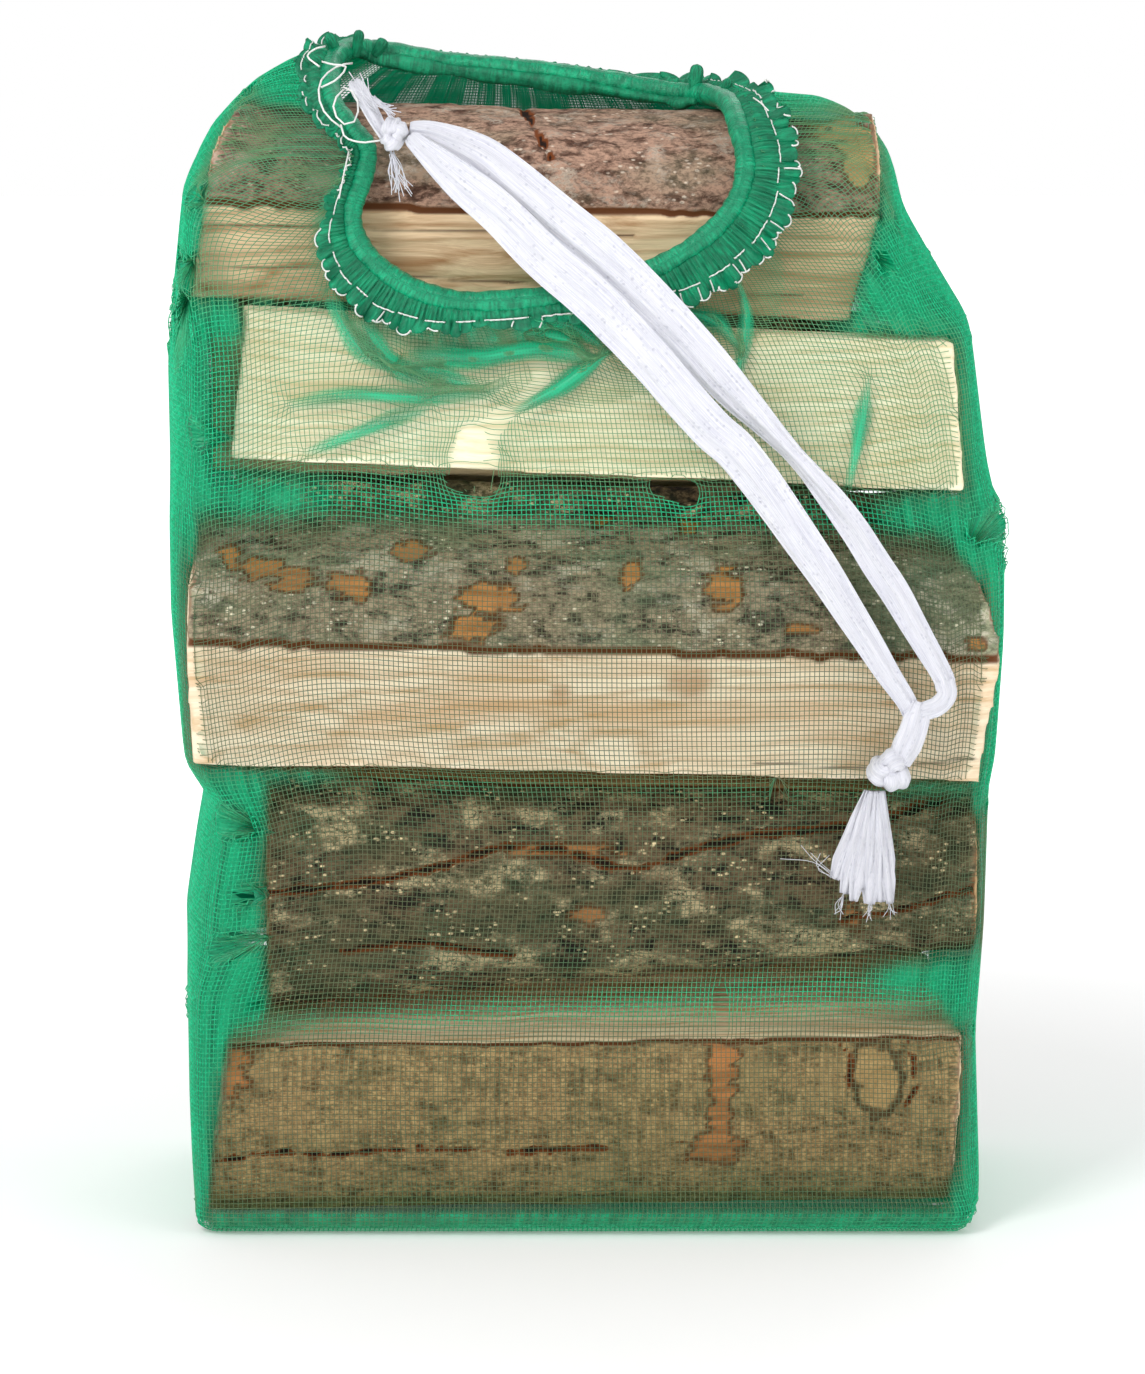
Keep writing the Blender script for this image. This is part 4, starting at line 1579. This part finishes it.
def bandSurface(places, share, lift=0.0):
    # points of the band at each place, share of the way out from the elastic: fine pleats, a seam, then a ruffle
    marks, widths, scallops = (np.array(v) for v in zip(*bandWidths))
    wide, high = np.interp(places, marks, widths), np.interp(places, marks, scallops)
    seam = mouthSetup["seam"]
    past = np.clip((share - seam) / (1 - seam), 0, 1) ** 0.75
    inside = np.clip(share / seam, 0, 1)
    phase = 2 * math.pi * mouthSetup["scallops"] * places / routeEnd
    phase = phase + 1.1 * np.sin(phase * 0.31 + 2) + 0.6 * np.sin(phase * 0.13)
    amount = 0.75 + 0.25 * np.sin(phase * 0.41 + 1)
    fine = np.sin(2 * math.pi * places * 10.5 + 2 * np.sin(places * 5)) \
        + 0.6 * np.sin(places * 113 + np.sin(places * 17))
    shift = 0.052 * amount * np.sin(2 * phase) * past
    out = 2.6 + wide * share + 1.3 * past * np.cos(2 * phase) * amount + 1.2 * past * np.sin(phase * 0.5)
    rise = 1.2 + 1.5 * np.sin(math.pi * inside) ** 0.8 + 0.45 * fine * (1 - past) * np.minimum(1, 4 * inside) \
        + high * amount * past * (0.45 + 0.85 * np.sin(phase)) + lift
    return mouthFrame(places + shift, out, rise)


def bandPiece():
    count, across = mouthSetup["samples"], mouthSetup["across"]
    places = np.linspace(0, routeEnd, count, endpoint=False)
    share = np.linspace(0, 1, across)
    rings = [bandSurface(places, t, 0.75 * (1 - 0.4 * t)) for t in share]
    rings += [bandSurface(places, t, -0.75 * (1 - 0.4 * t)) for t in share[::-1]]
    points = np.stack(rings, 1)
    corners = 2 * across
    i, k = np.indices((count, corners)).reshape(2, -1)
    after, beside = (i + 1) % count, (k + 1) % corners
    quads = np.stack([i * corners + k, after * corners + k, after * corners + beside, i * corners + beside], 1)
    piece = addMesh("mouth_band", points.reshape(-1, 3), quads, np.zeros((0, 3), int))
    setValues(piece.data, "along", np.repeat(places * 25, corners))
    setValues(piece.data, "across", np.tile(np.concatenate([share, share[::-1]]), count))
    return piece


def peakPieces():
    # the net gathered into loops that stand up from the band: foot, top, width
    made = []
    for foot, top, wide in (((46, -8, 474), (47.5, -9, 487.5), 6.4), ((58, -20, 474), (60.5, -21, 482), 4.6),
                            ((-102, -20, 489), (-107, -26, 501), 5.4), ((-96, -14, 491), (-94, -18, 502), 5.0),
                            ((-88, -6, 491), (-84, -8, 498), 5.6), ((-106, -34, 484), (-113, -40, 492), 5.0)):
        line, _ = smoothLine([foot, tuple(0.45 * a + 0.55 * b for a, b in zip(foot, top)), top], 26)
        share = np.linspace(0, 1, 26)[:, None]
        turn = np.linspace(0, 2 * math.pi, 20, endpoint=False)
        radius = 0.5 * wide * (0.7 + 0.3 * share) * np.sqrt(np.maximum(1 - share ** 7, 0.004)) \
            * (1 + 0.09 * np.sin(7 * turn + 3 * share) + 0.06 * np.sin(13 * turn - 5 * share))
        section = np.stack([radius * np.cos(turn), 0.8 * radius * np.sin(turn)], -1)
        piece = sweptPiece("peak", line, np.tile((0.1, -1.0, 0.1), (26, 1)), section)
        setValues(piece.data, "along", np.tile(turn * 3, 26))
        setValues(piece.data, "across", np.repeat(share[:, 0], 20))
        made.append(piece)
    return made


def stitchLines():
    # a running stitch on the seam, one on the ruffle's edge, and bars across it at the lower right
    lines = []
    dice = np.random.default_rng(4)

    def addLine(places, share):
        lines.append(bandSurface(places, share, 1.05))
    place = 3.5
    while place < 23.2:
        long = dice.uniform(0.2, 0.55)
        share = 0.6 if place < 17 else 0.8
        addLine(np.linspace(place, min(place + long, 23.3), 14), share + 0.03 * np.sin(place * 7))
        place += long + dice.uniform(0.03, 0.2)
    place = 4.6
    while place < 16.5:
        long = dice.uniform(0.12, 0.34)
        if place < 10.6 or place > 13.5:
            addLine(np.linspace(place, place + long, 14), 0.985)
        place += long + dice.uniform(0.06, 0.3)
    for place in (7.0, 7.5, 8.1, 8.45, 9.05, 9.2, 9.7, 9.95, 10.3, 12.2, 12.5, 14.6):
        shares = np.linspace(0.68, 0.99, 10)
        points = np.array([bandSurface(np.array([place + 0.1 * s]), s, 1.1)[0] for s in shares])
        lines.append(points)
    return lines


looseLoops = [
    [(-95, -68, 490), (-101, -74, 489), (-107, -80, 484), (-108, -84, 477), (-105, -86, 470), (-99, -87, 465)],
    [(-107, -76, 491), (-103, -78, 490), (-97, -82, 489), (-101, -86, 484), (-107, -86, 481)],
    [(-98, -84, 480), (-102, -87, 475), (-100, -89, 468), (-95, -89, 466), (-92, -88, 471), (-93, -86, 478),
     (-98, -84, 481)],
    [(-99, -88, 466), (-97, -90, 461), (-90, -91, 459), (-82, -92, 460)],
    [(-106, -70, 497), (-110, -72, 496), (-113, -74, 493), (-108, -77, 489)],
    [(-96, -84, 455), (-98, -86, 446), (-100, -88, 436)],
    [(69, -68, 476), (72, -70, 474), (75, -74, 471)],
]


def threadsPiece(name, lines, radius, normal=(0.0, -0.8, 0.6)):
    made = []
    for line in lines:
        line, _ = smoothLine(line, max(10, len(line)))
        normals = np.tile(normal, (1, len(line), 1))
        field = np.concatenate([line[None], normals, np.zeros((1, len(line), 1))], 2)
        points, quads, caps, _ = threadMesh(field, np.ones((1, len(line)), bool), radius)
        piece = addMesh(name, points, quads, caps)
        made.append(withoutWeave(piece))
    joinPieces(made, name)
    return made[0]


def sleeveMaterial(name, dark, light, gloss, weave):
    look, tree, shader = newLook(name)
    along = valueOf(tree, "along")
    across = valueOf(tree, "across")
    wide = maths(tree, "MULTIPLY", across, weave[2])
    flat = addNode(tree, "ShaderNodeCombineXYZ", {"X": along, "Y": wide}).outputs[0]
    place = inPlace(tree)
    pleats = cloudy(tree, stretched(tree, flat, (weave[0], weave[1], 1)), detail=3, rough=0.6)
    threads = cloudy(tree, place, 1100, 2, 0.7)
    patches = cloudy(tree, place, 130, 3)
    share = maths(tree, "MULTIPLY_ADD", spread(tree, pleats, 0.34, 0.66), 0.6, maths(tree, "MULTIPLY", threads, 0.45))
    colour = blendColours(tree, addNode(tree, "ShaderNodeClamp", {0: share}).outputs[0], dark, light)
    deep = blendColours(tree, spread(tree, patches, 0.62, 0.4, 0, 0.45), colour, dark)
    tree.links.new(deep, shader.inputs["Base Color"])
    height = maths(tree, "MULTIPLY_ADD", pleats, 1.5, maths(tree, "MULTIPLY", threads, 0.7))
    roughen(tree, shader, height, 0.8, 0.0006)
    tree.links.new(spread(tree, threads, 0.3, 0.7, gloss, gloss + 0.18), shader.inputs["Roughness"])
    shader.inputs["Specular IOR Level"].default_value = 0.4
    return look


def stitchMaterial():
    look, tree, shader = newLook("whiteStitchLook")
    place = inPlace(tree)
    fibre = cloudy(tree, place, 1500, 2)
    tree.links.new(blendColours(tree, fibre, tone(226, 228, 222), tone(252, 252, 250)), shader.inputs["Base Color"])
    roughen(tree, shader, fibre, 0.4, 0.0002)
    shader.inputs["Roughness"].default_value = 0.7
    return look


def makeMouth():
    sleeve = elasticPiece()
    finishPiece(sleeve, sleeveMaterial("sleeveLook", tone(0, 104, 72), tone(8, 186, 132), 0.26, (0.9, 0.7, 1.0)),
                "green_cord", "mouth_elastic")
    band = bandPiece()
    joinPieces([band, rollPiece()] + peakPieces(), "mouth_band")
    finishPiece(band, sleeveMaterial("bandLook", tone(0, 88, 60), tone(4, 168, 118), 0.45, (0.75, 0.15, 12.0)),
                "green_net", "mouth_hem")
    white = stitchMaterial()
    stitches = threadsPiece("mouth_stitches", stitchLines() + looseLoops[5:], 0.42)
    loops = threadsPiece("mouth_loose_thread", looseLoops[:5], 0.5)
    for piece in (stitches, loops):
        finishPiece(piece, white, "white_tape")
    return [sleeve, band, stitches, loops]


mouthPieces = makeMouth()
print("stage: mouth")
